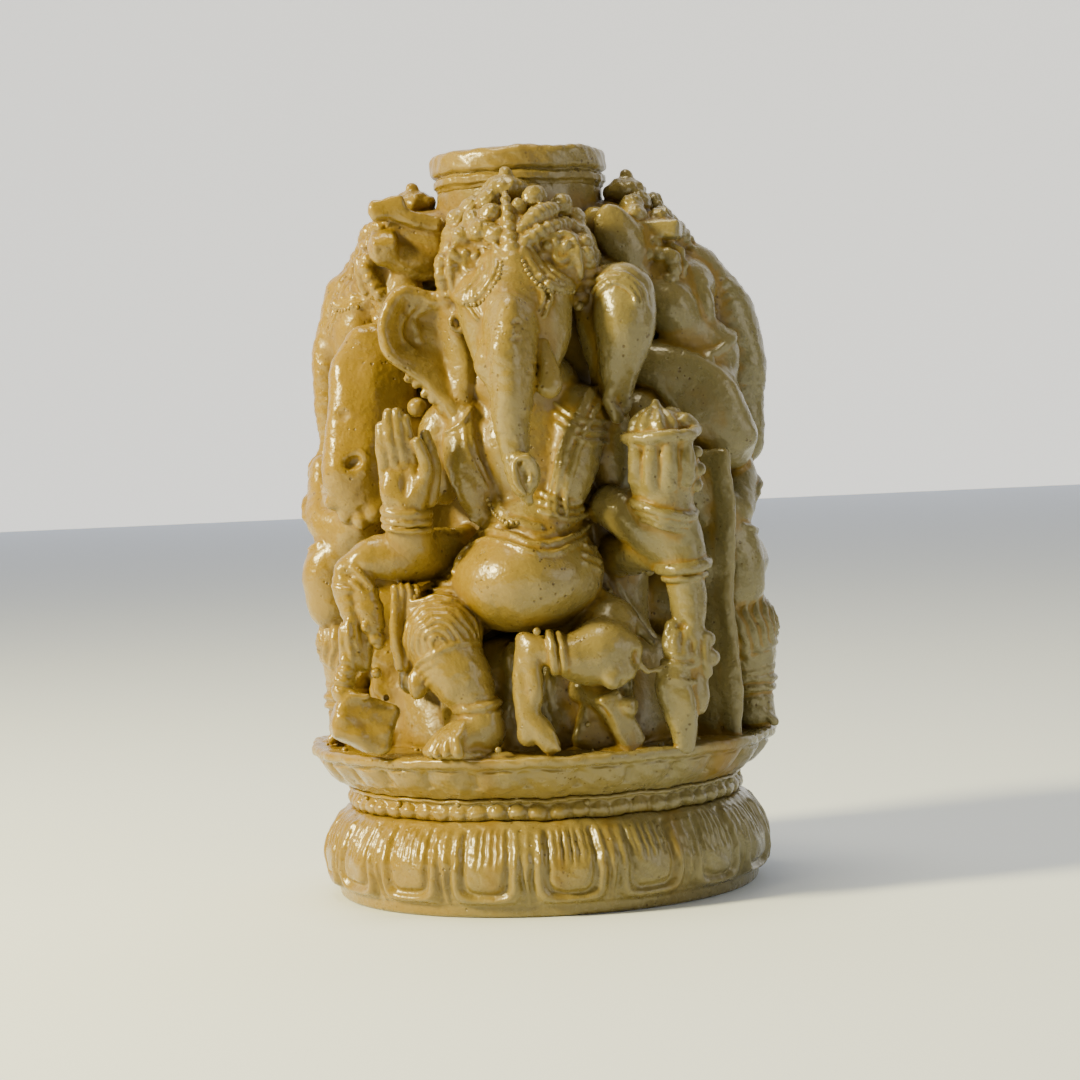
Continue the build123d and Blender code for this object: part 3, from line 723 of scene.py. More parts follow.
def makeAxe():
    lump = Lump("axe", (-34, -35, 24), (-19, -23, 50))
    lump.add(rod([(-28.6, -29.8, 40.0), (-29.2, -30.0, 37.6), (-29.6, -30.2, 35.4)], [1.2, 1.5, 1.5],
                 rings(1.5, 0.2)))
    lump.add(slab((-26.4, -29.8, 30.6), (4.9, 2.4, 4.1), 1.5, (-14, 24, 12),
                  unevenness((0.18, 0.9, 0, 1.3), (0.12, -1.1, 0, 1.9))), soft=0.5)
    lump.add(hoop((-29.2, -30.4, 37.2), (1.3, 1.4), 0.5, (80, 0, 20)), soft=0.2)
    lump.add(rod([(-30.8, -29.4, 36.2), (-29.0, -31.2, 34.6), (-25.4, -31.8, 34.8)], [0.5, 0.7, 0.5]),
             soft=0.4)
    return lump


def makeBowlArm():
    lump = Lump("bowl_arm", (11, -37, 48), (29, -20, 76))
    lump.add(ball((21.5, -28.2, 67.0), (5.6, 4.9, 5.9)))
    fingers(lump,
            [(17.4, -30.3, 66.4), (19.7, -31.7, 65.2), (22.3, -32.1, 65.4), (24.9, -31.3, 66.2)],
            [(17.4, -31.3, 71.6), (19.8, -32.5, 72.0), (22.4, -32.7, 72.0), (24.9, -31.7, 71.6)], 1.4, 0.4)
    lump.add(ball((26.6, -29.6, 70.0), 1.0), ball((26.9, -29.0, 67.2), 1.1), ball((26.6, -29.4, 64.8), 1.0),
             soft=0.3)
    lump.add(rod([(21.4, -28.2, 63), (22.6, -27.8, 59.2), (24.0, -27.6, 55.2)], [4.3, 3.9, 3.3]), soft=1.0)
    lump.add(rod([(13.0, -22.6, 62.0), (16.6, -25.4, 60.0), (20.4, -27.2, 57.0), (23.8, -27.6, 53.8)],
                 [3.4, 3.9, 3.7, 3.1]), soft=1.0)
    for drop, size, thick in ((0.0, 4.7, 0.75), (1.25, 4.5, 0.55), (2.3, 4.3, 0.42)):
        lump.add(hoop((21.4, -28.2, 61.6 - drop), (size, size - 0.3), thick, (10, 14, 0)), soft=0.2)
    return lump


def makeSweetBowl():
    lump = Lump("sweet_bowl", (13, -37, 68), (30, -20, 80))
    lump.add(drum((21.4, -28.4, 72.4), 5.4, 6.1, 0.95, 0.6, (4, -3, 0)))
    lump.add(hoop((21.4, -28.5, 73.0), (5.6, 5.5), 0.85, (4, -3, 0)), soft=0.3)
    lump.add(ball((20.6, -28.6, 73.2), (4.3, 4.3, 4.0), (0, 0, 0), spokes(9, 0.24, 0.6, 2.5)), soft=0.2)
    lump.add(rod([(20.7, -28.9, 76.4), (20.6, -29.0, 78.0)], [1.4, 0.55]), soft=0.6)
    lump.add(ball((24.6, -28.2, 74.4), (2.0, 2.2, 1.9)), ball((26.0, -28.6, 73.8), 1.3), soft=0.3)
    lump.add(ball((23.0, -26.4, 75.6), (1.9, 1.8, 1.6)), soft=0.3)
    return lump


def makeBudArm():
    lump = Lump("bud_arm", (3, -34, 36), (31, -7, 60))
    lump.add(rod([(6.5, -9.5, 55.0), (13.5, -18.5, 54.4), (19.5, -25.0, 55.4), (23.9, -27.2, 53.8)],
                 [3.2, 3.5, 3.6, 3.2]), soft=0.8)
    lump.add(rod([(24.0, -27.4, 53.2), (24.3, -27.8, 47.6), (24.4, -28.2, 42.6)], [2.9, 2.9, 2.4]), soft=0.8)
    lump.add(hoop((24.0, -27.4, 52.5), (3.6, 3.4), 0.95, (4, -3, 0)), soft=0.2)
    lump.add(hoop((24.1, -27.5, 50.9), (3.2, 3.1), 0.5, (4, -3, 0)), soft=0.2)
    lump.add(ball((24.2, -28.2, 40.8), (3.0, 2.3, 3.4)), soft=0.6)
    for step in range(4):
        lump.add(rod([(22.6 + 1.35 * step, -29.8 + 0.3 * step, 43.0 - 0.5 * step),
                      (22.0 + 1.5 * step, -30.8 + 0.4 * step, 40.4 - 0.8 * step),
                      (22.8 + 1.35 * step, -30.0 + 0.4 * step, 38.2 - 0.8 * step)],
                     [0.95, 0.95, 0.8]), soft=0.15)
    lump.add(ball((27.2, -28.4, 41.0), 1.3), ball((27.4, -28.4, 38.2), 1.5), soft=0.3)
    lump.add(rod([(21.8, -29.2, 43.4), (20.8, -30.0, 40.4)], [1.2, 0.9]), soft=0.3)
    lump.carve(ball((23.2, -30.6, 43.6), (0.9, 0.8, 0.7)), soft=0.4)
    return lump


def makeLotusBud():
    lump = Lump("lotus_bud", (17, -36, 23.8), (29, -24, 42))
    lump.add(rod([(22.8, -29.2, 40.2), (22.2, -29.6, 37.4), (21.8, -29.6, 34.4), (22.4, -29.6, 30.4),
                  (22.9, -29.6, 25.4)], [1.6, 2.4, 3.1, 2.8, 1.7]), soft=0.5)
    lump.add(ball((24.9, -28.6, 33.4), (2.2, 2.2, 3.9), (0, -12, 0)), soft=0.25)
    lump.add(ball((23.4, -31.2, 32.2), (1.6, 1.4, 3.6), (0, -8, 0)), soft=0.3)
    lump.add(hoop((22.2, -29.6, 35.6), (2.9, 2.7), 0.5, (6, 14, 0)), soft=0.2)
    lump.add(hoop((22.3, -29.6, 37.6), (2.3, 2.2), 0.5, (0, 8, 0)), soft=0.2)
    lump.add(hoop((22.4, -29.6, 39.0), (2.0, 1.9), 0.42, (0, 8, 0)), soft=0.2)
    return lump


def makeMouse():
    lump = Lump("mouse", (4, -35, 24), (17, -20, 37))
    lump.add(slab((12.9, -30.2, 29.4), (2.0, 2.2, 4.9), 0.8, (0, -26, 24)))
    lump.add(rod([(7.4, -27.4, 34.2), (10.0, -29.4, 33.4), (12.0, -30.8, 32.0)], [2.1, 2.1, 1.8]), soft=0.8)
    lump.add(ball((14.6, -31.4, 31.6), (1.5, 1.6, 1.7)), soft=0.6)
    lump.add(slab((9.6, -26.4, 28.6), (3.2, 3.4, 4.2), 1.2, (0, 20, 0)), soft=0.9)
    lump.carve(rod([(10.6, -32.4, 31.6), (12.4, -33.0, 27.0)], 0.5), soft=0.5)
    return lump


def makeSideLegs(reach):
    lump = Lump("legs", (-18, -41, 23.5), (18, -9, 53))
    for side in (-1, 1):
        knee = (side * 8.4, -reach + 7.2, 41.4)
        lump.add(ball(knee, (6.4, 7.2, 6.2), (0, 0, 0), ripples(1.5, 0.24, (0, -7.0, 1.5))), soft=0.4)
        lump.add(rod([(side * 7, -17, 46), (side * 8.0, -25, 45.0)], [6.6, 6.4]), soft=1.2)
        lump.add(rod([(side * 8.0, -reach + 5.4, 38.4), (side * 7.4, -reach + 5.0, 33.6),
                      (side * 7.0, -reach + 4.6, 29)], [4.9, 3.8, 3.2], rings(1.4, 0.16)), soft=0.6)
        for height, size in ((33.0, 3.7), (31.5, 3.5)):
            lump.add(hoop((side * 7.2, -reach + 4.8, height), (size, size), 0.6), soft=0.25)
        lump.add(ball((side * 7.0, -reach + 4.8, 27.2), (3.4, 3.6, 2.8)), soft=0.8)
        for toe in range(5):
            x = side * 7.0 + (toe - 2) * 1.2
            lump.add(rod([(x * 0.97, -reach + 3.4, 27.8), (x, -reach + 1.6, 26.0)], [0.9, 0.78]), soft=0.15)
    lump.add(slab((0, -reach + 10, 36), (2.6, 5.4, 9.8), 1.4, (6, 0, 0), pleats(1.2, 0.2, 0)), soft=0.9)
    return lump


def makeSideTorso():
    # as the front one, with the arms drawn in to the trunk's tip
    lump = makeTorso()
    for side in (-1, 1):
        lump.add(rod([(side * 11.5, -18, 76), (side * 14.6, -23.5, 68), (side * 13.6, -27.5, 60.4)],
                     [4.2, 3.9, 3.7]), soft=1.0)
        lump.add(rod([(side * 13.4, -27.6, 60.0), (side * 9.4, -32.2, 60.6), (side * 5.0, -33.6, 65.4),
                      (side * 3.4, -33.6, 70.0)], [3.8, 3.7, 3.1, 2.3]), soft=0.8)
        for step, place in enumerate([(7.0, -33.2, 63.0), (5.9, -33.5, 64.4)]):
            lump.add(hoop((side * place[0], place[1], place[2]), (3.6 - 0.2 * step, 3.5), 0.55,
                          (0, side * 38, 0)), soft=0.2)
        lump.add(rod([(side * 12.0, -28.6, 57.4), (side * 10.6, -32.4, 53.8), (side * 10.2, -32.4, 48.4)],
                     [3.4, 4.5, 4.6]), soft=1.6)
        lump.line([(side * 7.4, 57.6), (side * 10.4, 56.8), (side * 13.4, 57.8)], 0.5, 0.1, 0.5)
    lump.add(ball((0, -34.2, 69.4), (3.3, 2.6, 3.0), (0, 0, 0), ripples(1.5, 0.15, (0, -2, 2))), soft=0.4)
    return lump


def makeSideTrunk(line, radii, wall):
    # the trunk, with the casting's web left standing behind it
    lump = makeTrunk(line, radii)
    lump.add(slab(*wall, 1.8), soft=2.0)
    return lump


def makeLeftTrunk():
    line = [(-0.2, -28.6, 98), (0.2, -30.6, 93.2), (0.4, -32.2, 87.4), (0.4, -32.6, 80.6), (0.2, -32.4, 75.2),
            (0, -33.2, 71.4)]
    return makeSideTrunk(line, [3.9, 3.3, 3.0, 2.6, 2.3, 1.9], ((0, -28.2, 81), (2.6, 3.4, 10)))


def makeRightTrunk():
    line = [(0, -28.4, 99), (0, -31.6, 94.4), (0, -34.0, 89.6), (0, -35.4, 84.0), (0, -35.7, 77),
            (0, -35.6, 70.4)]
    return makeSideTrunk(line, [4.4, 4.7, 4.4, 3.7, 2.9, 2.6], ((0, -30.0, 81), (3.0, 5.0, 12)))


def makeLongEar():
    lump = Lump("ear_left", (5, -34, 58), (23, -14, 98))
    for shift in (-1.9, 1.7):
        lump.add(rod([(12.6, -25.0 + shift * 0.6, 89.6), (15.0, -26.0 + shift, 84.5),
                      (16.6, -26.4 + shift, 77.5),
                      (17.6, -27.6 + shift, 70.0), (17.2, -27.4 + shift * 0.7, 64.8)],
                     [2.6, 3.0, 2.9, 3.0, 2.4]), soft=2.2)
    for x, y, z in ((18.4, -24.6, 62.6), (18.0, -26.6, 61.6), (17.4, -29.0, 62.4), (17.4, -30.8, 64.6)):
        lump.add(ball((x, y, z), (1.3, 1.4, 1.5)), soft=0.6)
    lump.add(rod([(10.6, -20.5, 91), (12.8, -21, 83), (14.2, -22, 74), (15.0, -23.4, 65)],
                 [3.2, 3.8, 4.0, 3.6]),
             soft=2.2)
    for x, y, z in ((19.2, -28.0, 84.0), (19.8, -28.8, 78.2), (20.4, -27.0, 70.6)):
        lump.carve(ball((x, y, z), (0.9, 1.3, 1.0)), soft=0.7)
    return lump


def makeShortEar():
    lump = Lump("ear_left", (5, -37, 64), (21, -14, 99))
    lump.add(rod([(8.6, -20.6, 96.0), (9.8, -24.0, 93.2), (9.0, -25.6, 90.4)], [4.0, 4.3, 3.8]), soft=1.0)
    lump.add(ball((5.6, -26.6, 96.6), (4.2, 4.6, 4.6)), soft=2.2)
    lump.add(rod([(9.6, -17.0, 85), (12.2, -22.6, 83.2), (12.8, -27.4, 79.6), (11.0, -30.6, 75.0),
                  (8.0, -32.8, 70.0)], [3.6, 4.0, 4.9, 4.4, 3.0]), soft=3.0)
    lump.add(ball((12.4, -28.6, 77.4), (4.4, 4.6, 6.2), (-20, 0, 0)), soft=2.6)
    lump.add(ball((7.4, -29.6, 84.6), (4.0, 5.0, 6.4)), soft=3.0)
    lump.add(slab((9.4, -29.6, 74.4), (3.4, 5.4, 6.2), 2.0, (-30, 0, 6)), soft=3.0)
    lump.line([(6.2, 89.0), (9.4, 87.6), (13.0, 84.6)], 0.5, 0.1, 0.8)
    lump.carve(slab((18.4, -27, 79), (3.2, 14, 13), 0.5), soft=1.6)
    lump.add(rod([(8.6, -28.6, 96.6), (9.2, -29.4, 93.4), (7.6, -29.2, 89.4)], [1.2, 1.7, 1.2]), soft=1.2)
    return lump


def makeWedgeHand():
    # the hand that holds up a flared blade beside the neck
    lump = Lump("raised_hands", (3, -28, 92), (23, -4, 115))
    lump.add(rod([(7.5, -10, 103), (11.0, -15.5, 102.4), (13.0, -19.6, 103.2)], [3.3, 3.2, 2.4]), soft=0.8)
    lump.add(ball((13.6, -21.2, 104.4), (2.5, 2.6, 2.9)), soft=0.5)
    for step in range(4):
        lump.add(rod([(13.4, -22.6 + 0.9 * step, 106.9), (15.6, -22.4 + 0.9 * step, 105.2),
                      (15.0, -22.2 + 0.9 * step, 103.0)], [0.6, 0.7, 0.55]), soft=0.15)
    lump.add(slab((12.0, -17.8, 109.4), (2.9, 6.0, 1.2), 0.6, (-17, 0, 4)), soft=0.4)
    lump.add(slab((12.2, -20.6, 110.8), (3.0, 2.9, 1.5), 0.7, (14, 0, 4)), soft=0.5)
    lump.add(slab((10.8, -16.2, 105.6), (3.0, 4.4, 3.4), 1.2), soft=0.6)
    return lump


def makeLeafHand():
    lump = Lump("raised_hands", (3, -28, 92), (23, -4, 115))
    lump.add(rod([(7.5, -10, 100), (10.5, -14.4, 99.4)], [3.3, 3.0]), soft=0.8)
    lump.add(ball((12.0, -16.4, 104.4), (2.5, 3.7, 5.8), (-28, 0, -14)), soft=0.5)
    lump.add(ball((9.2, -13.2, 106.0), (2.2, 3.0, 4.0), (-24, 0, -14)), soft=0.4)
    lump.add(slab((8.8, -23.2, 105.6), (2.2, 3.0, 1.5), 0.8, (0, 0, 12)), soft=0.5)
    return lump


def bothSides(maker):
    # the same thing on the other side too
    lump = maker()
    pair = Lump(lump.name, (-23, -37, 58), (23, -4, 115))
    for half in (lump, lump.mirrored(lump.name)):
        merged(pair, half, 0)
    return pair


frontParts = {
    "torso": makeTorso, "head": makeHead, "trunk": makeFrontTrunk, "tusks": makeTusks,
    "trunk_sweet": makeTrunkSweet, "ear_right": makeEarRight, "ear_left": makeEarLeft,
    "bent_leg": makeBentLeg, "folded_leg": makeFoldedLeg, "axe_arm": makeAxeArm, "bud_arm": makeBudArm,
    "blessing_arm": makeBlessingArm, "bowl_arm": makeBowlArm, "axe": makeAxe, "lotus_bud": makeLotusBud,
    "sweet_bowl": makeSweetBowl, "mouse": makeMouse,
}
shapes = {name: maker() for name, maker in frontParts.items()}
string("torso", shapes["torso"], [(-6.0, 64.2), (-4.6, 61.8), (-3.0, 60.6), (-1.2, 60.4)], 0.42, 1.0, -0.1)
shapes["headdress"] = makeHeaddress(shapes["head"])
sideTorso = makeSideTorso()
figures = {
    "front": shapes,
    "back": shapes,
    "left": {"trunk": makeLeftTrunk(), "legs": makeSideLegs(35.6), "raised_hands": bothSides(makeWedgeHand),
             "ear_left": makeLongEar()},
    "right": {"trunk": makeRightTrunk(), "legs": makeSideLegs(39.2), "raised_hands": bothSides(makeLeafHand),
              "ear_left": makeShortEar()},
}
for side in ("left", "right"):
    made = figures[side]
    made.update(torso=sideTorso, head=shapes["head"], headdress=shapes["headdress"])
    made["ear_right"] = made["ear_left"].mirrored("ear_right")
print("figures modelled in clay:", sum(len(parts) for parts in figures.values()), "parts")


def makePillar():
    pillar = Lump("pillar_with_neck", (-20, -20, 24), (20, 20, 116))
    pillar.add(
        drum((0, 0, 61), 19.2, 18.6, 37, 3),
        drum((0, 0, 98), 18.6, 14.2, 5, 2),
        drum((0, 0, 106), neckRadius, neckRadius - 0.3, 9, 0.3),
        soft=2.0,
    )
    return pillar


def makeSeat():
    # a round core with four arms, one under each figure
    seat = Lump("seat", (-37, -37, 23.6), (37, 37, 45))
    seat.add(drum((0, 0, 32.4), 27.4, 25.6, 8.6, 2.5, (0, 0, 0),
                  unevenness((0.4, 0.5, 0, 0.35), (0.3, 0, 0.6, -0.4))))
    folds = [[(9, 43), (12, 36), (11, 26)], [(13, 42), (14.5, 34), (14, 26)], [(3, 43), (2, 36), (3, 26)],
             [(-3, 43), (-4, 34), (-3.5, 26)], [(-13, 43), (-14, 36), (-13.6, 26)]]
    arm = Lump("seat", (-17, -28, 24), (17, 2, 45))
    arm.add(slab((0, -12, 32.6), (14.6, 14.6, 9.2), 3.4, (0, 0, 0),
                 unevenness((0.55, 0.42, 0, 0.3), (0.35, -0.5, 0.4, 0.9))))
    for fold in folds:
        arm.line(fold, 0.7, 0.0, 0.9)
    for quarter in range(4):
        merged(seat, arm.turned("seat", quarter), 1.5)
    # crumbs of resin left on the deck
    chance = np.random.default_rng(5)
    for spot in chance.uniform(0, 1, (70, 4)):
        far, angle = 16 + 19 * math.sqrt(spot[0]), 2 * math.pi * spot[1]
        seat.add(ball((far * math.cos(angle), far * math.sin(angle), 24.5),
                      (1.2 + 2.2 * spot[2], 1.2 + 1.6 * spot[3], 0.5 + 0.9 * spot[2])), soft=0.8)
    # a hairline crack
    seat.groove([(-17.2, 33.9), (-18.3, 32.5), (-18.8, 30.8), (-20.0, 28.2)], 0.2, 0.05, 0.05)
    return seat


def makePanels():
    wallFace = 22.7  # from the axis to the draped wall's folds
    panels = Lump("corner_panels", (-37, -24, 24), (37, 24, 72))
    for angle in (-29, 151):
        way = math.radians(angle)
        for start, stop, thick, top in ((17, 33.5, 1.25, 69.6), (30, 36.2, 1.0, 70.2)):
            reach = (start + stop) / 2
            panels.add(slab((reach * math.cos(way), reach * math.sin(way), (top + 24.4) / 2),
                            ((stop - start) / 2, thick, (top - 24.4) / 2), 0.8, (0, 0, angle)), soft=0.5)
        # the draped wall between the panel and the figure
        wallWay = math.radians(angle - 30)
        panels.add(slab((19.5 * math.cos(wallWay), 19.5 * math.sin(wallWay), 53), (3.2, 8.6, 15), 1.6,
                        (0, 0, angle - 30), unevenness((0.25, 0, 0.8, 0.3))), soft=1.0)
        for drop in range(3):
            fold = [(64, -5), (56, -4 + 0.2 * drop), (48, -0.5 + 0.5 * drop), (42 - drop, 5 + 0.7 * drop)]
            panels.add(rod([(wallFace * math.cos(wallWay) - (across + 1.3 * drop) * math.sin(wallWay),
                             wallFace * math.sin(wallWay) + (across + 1.3 * drop) * math.cos(wallWay), z)
                            for z, across in fold], 0.5), soft=0.5)
        spine = [(36.0, 24.8, 0.7), (36.4, 34, 0.8), (35.4, 46, 0.7), (36.5, 58, 0.75), (36.0, 69.2, 0.7)]
        panels.add(rod([(r * math.cos(way), r * math.sin(way), z) for r, z, _ in spine],
                       [size for _, _, size in spine]), soft=0.8)
    return panels


lumps = [makePillar(), makeSeat(), makePanels()]
for figure, quarter in turns.items():
    for name, shape in figures[figure].items():
        lumps.append(shape.turned(f"{figure}_{name}", quarter))

# the plinth stands in for its turned pieces while hollows are measured, and isn't cast
plinthShade = Lump("plinth", (-41, -41, -2), (41, 41, 27))
plinthShade.add(drum((0, 0, 21.5), 32, deckRadius, 3.5, 0.4), drum((0, 0, 8), 35.2, 33, 8, 3), soft=0)
whole = np.full((sideCells, sideCells, levels), clay["reach"], np.float32)
nearest = whole.copy()
second = whole.copy()
owner = np.full(whole.shape, -1, np.int16)
for index, lump in enumerate([*lumps, plinthShade]):
    block, d = lump.block, lump.field
    blend = 0 if lump is plinthShade else clay["join"]
    whole[block] = softMin(whole[block], d, blend)
    closer = d < nearest[block]
    second[block] = np.where(closer, nearest[block], np.minimum(second[block], d))
    nearest[block] = np.where(closer, d, nearest[block])
    owner[block] = np.where(closer, index, owner[block])
print("casting joined:", len(lumps), "pieces in", whole.shape, "cells")


def warp(points):
    # the slight unevenness of the whole casting, mm
    x, y, z = points.T
    share = ease(z, 0, 8)  # none at the foot, which stays flat
    grow = 0.11 * share
    slow = np.stack([
        grow * (np.sin(0.61 * z + 0.33 * y + 1.0) + 0.6 * np.sin(1.13 * y - 0.5 * x + 2.1)),
        grow * (np.sin(0.57 * z - 0.41 * x + 4.0) + 0.6 * np.sin(1.21 * x + 0.4 * z)),
        grow * (np.sin(0.52 * x + 0.47 * y + 0.3) + 0.6 * np.sin(0.97 * x - 0.8 * y + 3.0)),
    ], 1).astype(points.dtype)
    fine = 0.05 * np.sin(1.9 * np.roll(points, 1, 1) + 2.3 * np.roll(points, 2, 1))
    return points + slow + share[:, None] * fine


def blurred(volume, width):
    # a box blur, by running sums along each axis
    for axis in range(3):
        padded = np.concatenate([np.repeat(volume.take([0], axis), width // 2 + 1, axis), volume,
                                 np.repeat(volume.take([-1], axis), width // 2, axis)], axis)
        total = np.cumsum(padded, axis, dtype=np.float32)
        count = volume.shape[axis]
        upper = total.take(range(width, width + count), axis)
        volume = (upper - total.take(range(count), axis)) / width
    return volume


def sampled(volume, step, points):
    # the volume's value at points in mm
    where = (points - np.array([sideLine[0], sideLine[0], heightLine[0]])) / (cell * step)
    where = np.clip(where, 0, np.array(volume.shape) - 1.001)
    base = where.astype(int)
    part = where - base
    total = 0
    for corner in range(8):
        offset = np.array([corner & 1, corner >> 1 & 1, corner >> 2 & 1])
        weight = np.prod(np.where(offset, part, 1 - part), 1)
        i, j, k = (base + offset).T
        total = total + weight * volume[i, j, k]
    return total


# how much solid stands round each point: widely for hollows, closely for crevices
sunken = {
    "thin": 3,               # cells to a step of the wide map
    "wide": 2.6,             # half widths of the two blurs, mm
    "close": 0.75,
    "hollow": (0.42, 2.2),   # where each begins to count, and how fast it then grows
    "crevice": (0.5, 3.0),
}
thin = sunken["thin"]
filled = (whole < 0).astype(np.float32)
thinned = filled[::thin, ::thin, ::thin].copy()
wideCells = 2 * int(sunken["wide"] / cell / thin) + 1
hollowMap = blurred(blurred(thinned, wideCells), wideCells)
creviceMap = blurred(filled, 2 * int(round(sunken["close"] / cell)) + 1)
del filled
print("hollows measured")


class Wire:
    # a node's output that takes sums, so that a formula reads as one

    def __init__(self, graph, socket):
        self.graph = graph
        self.socket = socket

    def math(self, operation, *others):
        return self.graph.node("ShaderNodeMath", {"operation": operation}, dict(enumerate((self, *others))))

    def __add__(self, other):
        return self.math("ADD", other)

    def __sub__(self, other):
        return self.math("SUBTRACT", other)

    def __mul__(self, other):
        return self.math("MULTIPLY", other)

    def __truediv__(self, other):
        return self.math("DIVIDE", other)

    def __pow__(self, other):
        return self.math("POWER", other)

    def __neg__(self):
        return self.math("MULTIPLY", -1.0)

    def __rsub__(self, other):
        return (-self).math("ADD", other)

    __radd__ = __add__
    __rmul__ = __mul__

    def root(self):
        return self.math("MAXIMUM", 0.0).math("SQRT")

    def above(self, low):
        return self.math("MAXIMUM", low)

    def size(self):
        return self.math("ABSOLUTE")

    def bell(self, place, width):
        far = (self - place) / width
        return (-(far * far)).math("EXPONENT")

    def step(self, low, high):
        values = {"Value": self, "From Min": low, "From Max": high}
        return self.graph.node("ShaderNodeMapRange", {"interpolation_type": "SMOOTHSTEP"}, values)

    def other(self, name):
        return Wire(self.graph, self.socket.node.outputs[name])


class Graph:
    def __init__(self, tree):
        self.tree = tree

    def node(self, kind, settings=None, values=None, output=0):
        made = self.tree.nodes.new(kind)
        for name, value in (settings or {}).items():
            setattr(made, name, value)
        for name, value in (values or {}).items():
            if isinstance(value, Wire):
                self.tree.links.new(value.socket, made.inputs[name])
            else:
                made.inputs[name].default_value = value
        return Wire(self, made.outputs[output]) if made.outputs else made

    def mix(self, factor, first, second):
        made = self.tree.nodes.new("ShaderNodeMix")
        made.data_type = "RGBA"
        slots = {"Factor": made.inputs[0], "A": made.inputs[6], "B": made.inputs[7]}
        for name, value in zip(slots, (factor, first, second)):
            if isinstance(value, Wire):
                self.tree.links.new(value.socket, slots[name])
            else:
                slots[name].default_value = value
        return Wire(self, made.outputs[2])


def linked(name, data):
    # a new object in the scene
    made = bpy.data.objects.new(name, data)
    bpy.context.scene.collection.objects.link(made)
    return made


def geometryTree(name, inputs):
    tree = bpy.data.node_groups.new(name, "GeometryNodeTree")
    tree.interface.new_socket("Geometry", in_out="INPUT", socket_type="NodeSocketGeometry")
    for label, kind in inputs.items():
        tree.interface.new_socket(label, in_out="INPUT", socket_type=kind)
    tree.interface.new_socket("Geometry", in_out="OUTPUT", socket_type="NodeSocketGeometry")
    g = Graph(tree)
    given = tree.nodes.new("NodeGroupInput")
    source = {s.name: Wire(g, s) for s in given.outputs if s.name}
    return g, source, tree.nodes.new("NodeGroupOutput")


def ended(g, geometry, source, result):
    # how every geometry tree ends
    real = g.node("GeometryNodeRealizeInstances", {}, {"Geometry": geometry})
    painted = g.node("GeometryNodeSetMaterial", {}, {"Geometry": real, "Material": source["Material"]})
    g.tree.links.new(painted.socket, result.inputs["Geometry"])
    return g.tree


def grown(name, data, tree, values):
    # the plain mesh that a geometry tree makes from some data
    piece = linked(name, data)
    modifier = piece.modifiers.new("grow", "NODES")
    modifier.node_group = tree
    sockets = {s.name: s.identifier for s in tree.interface.items_tree if s.in_out == "INPUT"}
    for label, value in values.items():
        modifier[sockets[label]] = value
    bpy.context.view_layer.update()
    mesh = bpy.data.meshes.new_from_object(piece.evaluated_get(bpy.context.evaluated_depsgraph_get()))
    bpy.data.objects.remove(piece)
    mesh.name = name
    return linked(name, mesh)


def pointsOf(mesh):
    # where a mesh's points are, mm
    points = np.empty(len(mesh.vertices) * 3, np.float32)
    mesh.vertices.foreach_get("co", points)
    return points.reshape(-1, 3) / mm


resinLook = {
    "pale": (0.185, 0.142, 0.045, 1),
    "paintedWarmLight": (0.225, 0.142, 0.011, 1),    # painted warm light, on the side towards -X
    "paintedCoolShade": (0.135, 0.128, 0.068, 1),    # painted cool shade, on the side towards +X
    "amberStainAndShade": (0.175, 0.102, 0.001, 1),   # amber stain, and painted shade in the hollows and crevices
    "soilAndDeepShade": (0.06, 0.03, 0.001, 1),      # painted shade in the deepest hollows, and what sits in the pores
    "paintedCoolShadeShare": 0.7,
    "stainAndShadeShare": 0.85,
    "deepShadeShare": 0.75,
    "deckHeight": (0.0245, 0.03),        # deep painted shade starts above the plinth
    "poreScale": 850.0,
    "speckScale": 1100.0,
    "bumpDepth": 0.00055,
    "scatter": 0.18,
    "scatterRadius": (1.0, 0.85, 0.4),
    "scatterScale": 0.0016,
    "coat": 0.18,
}


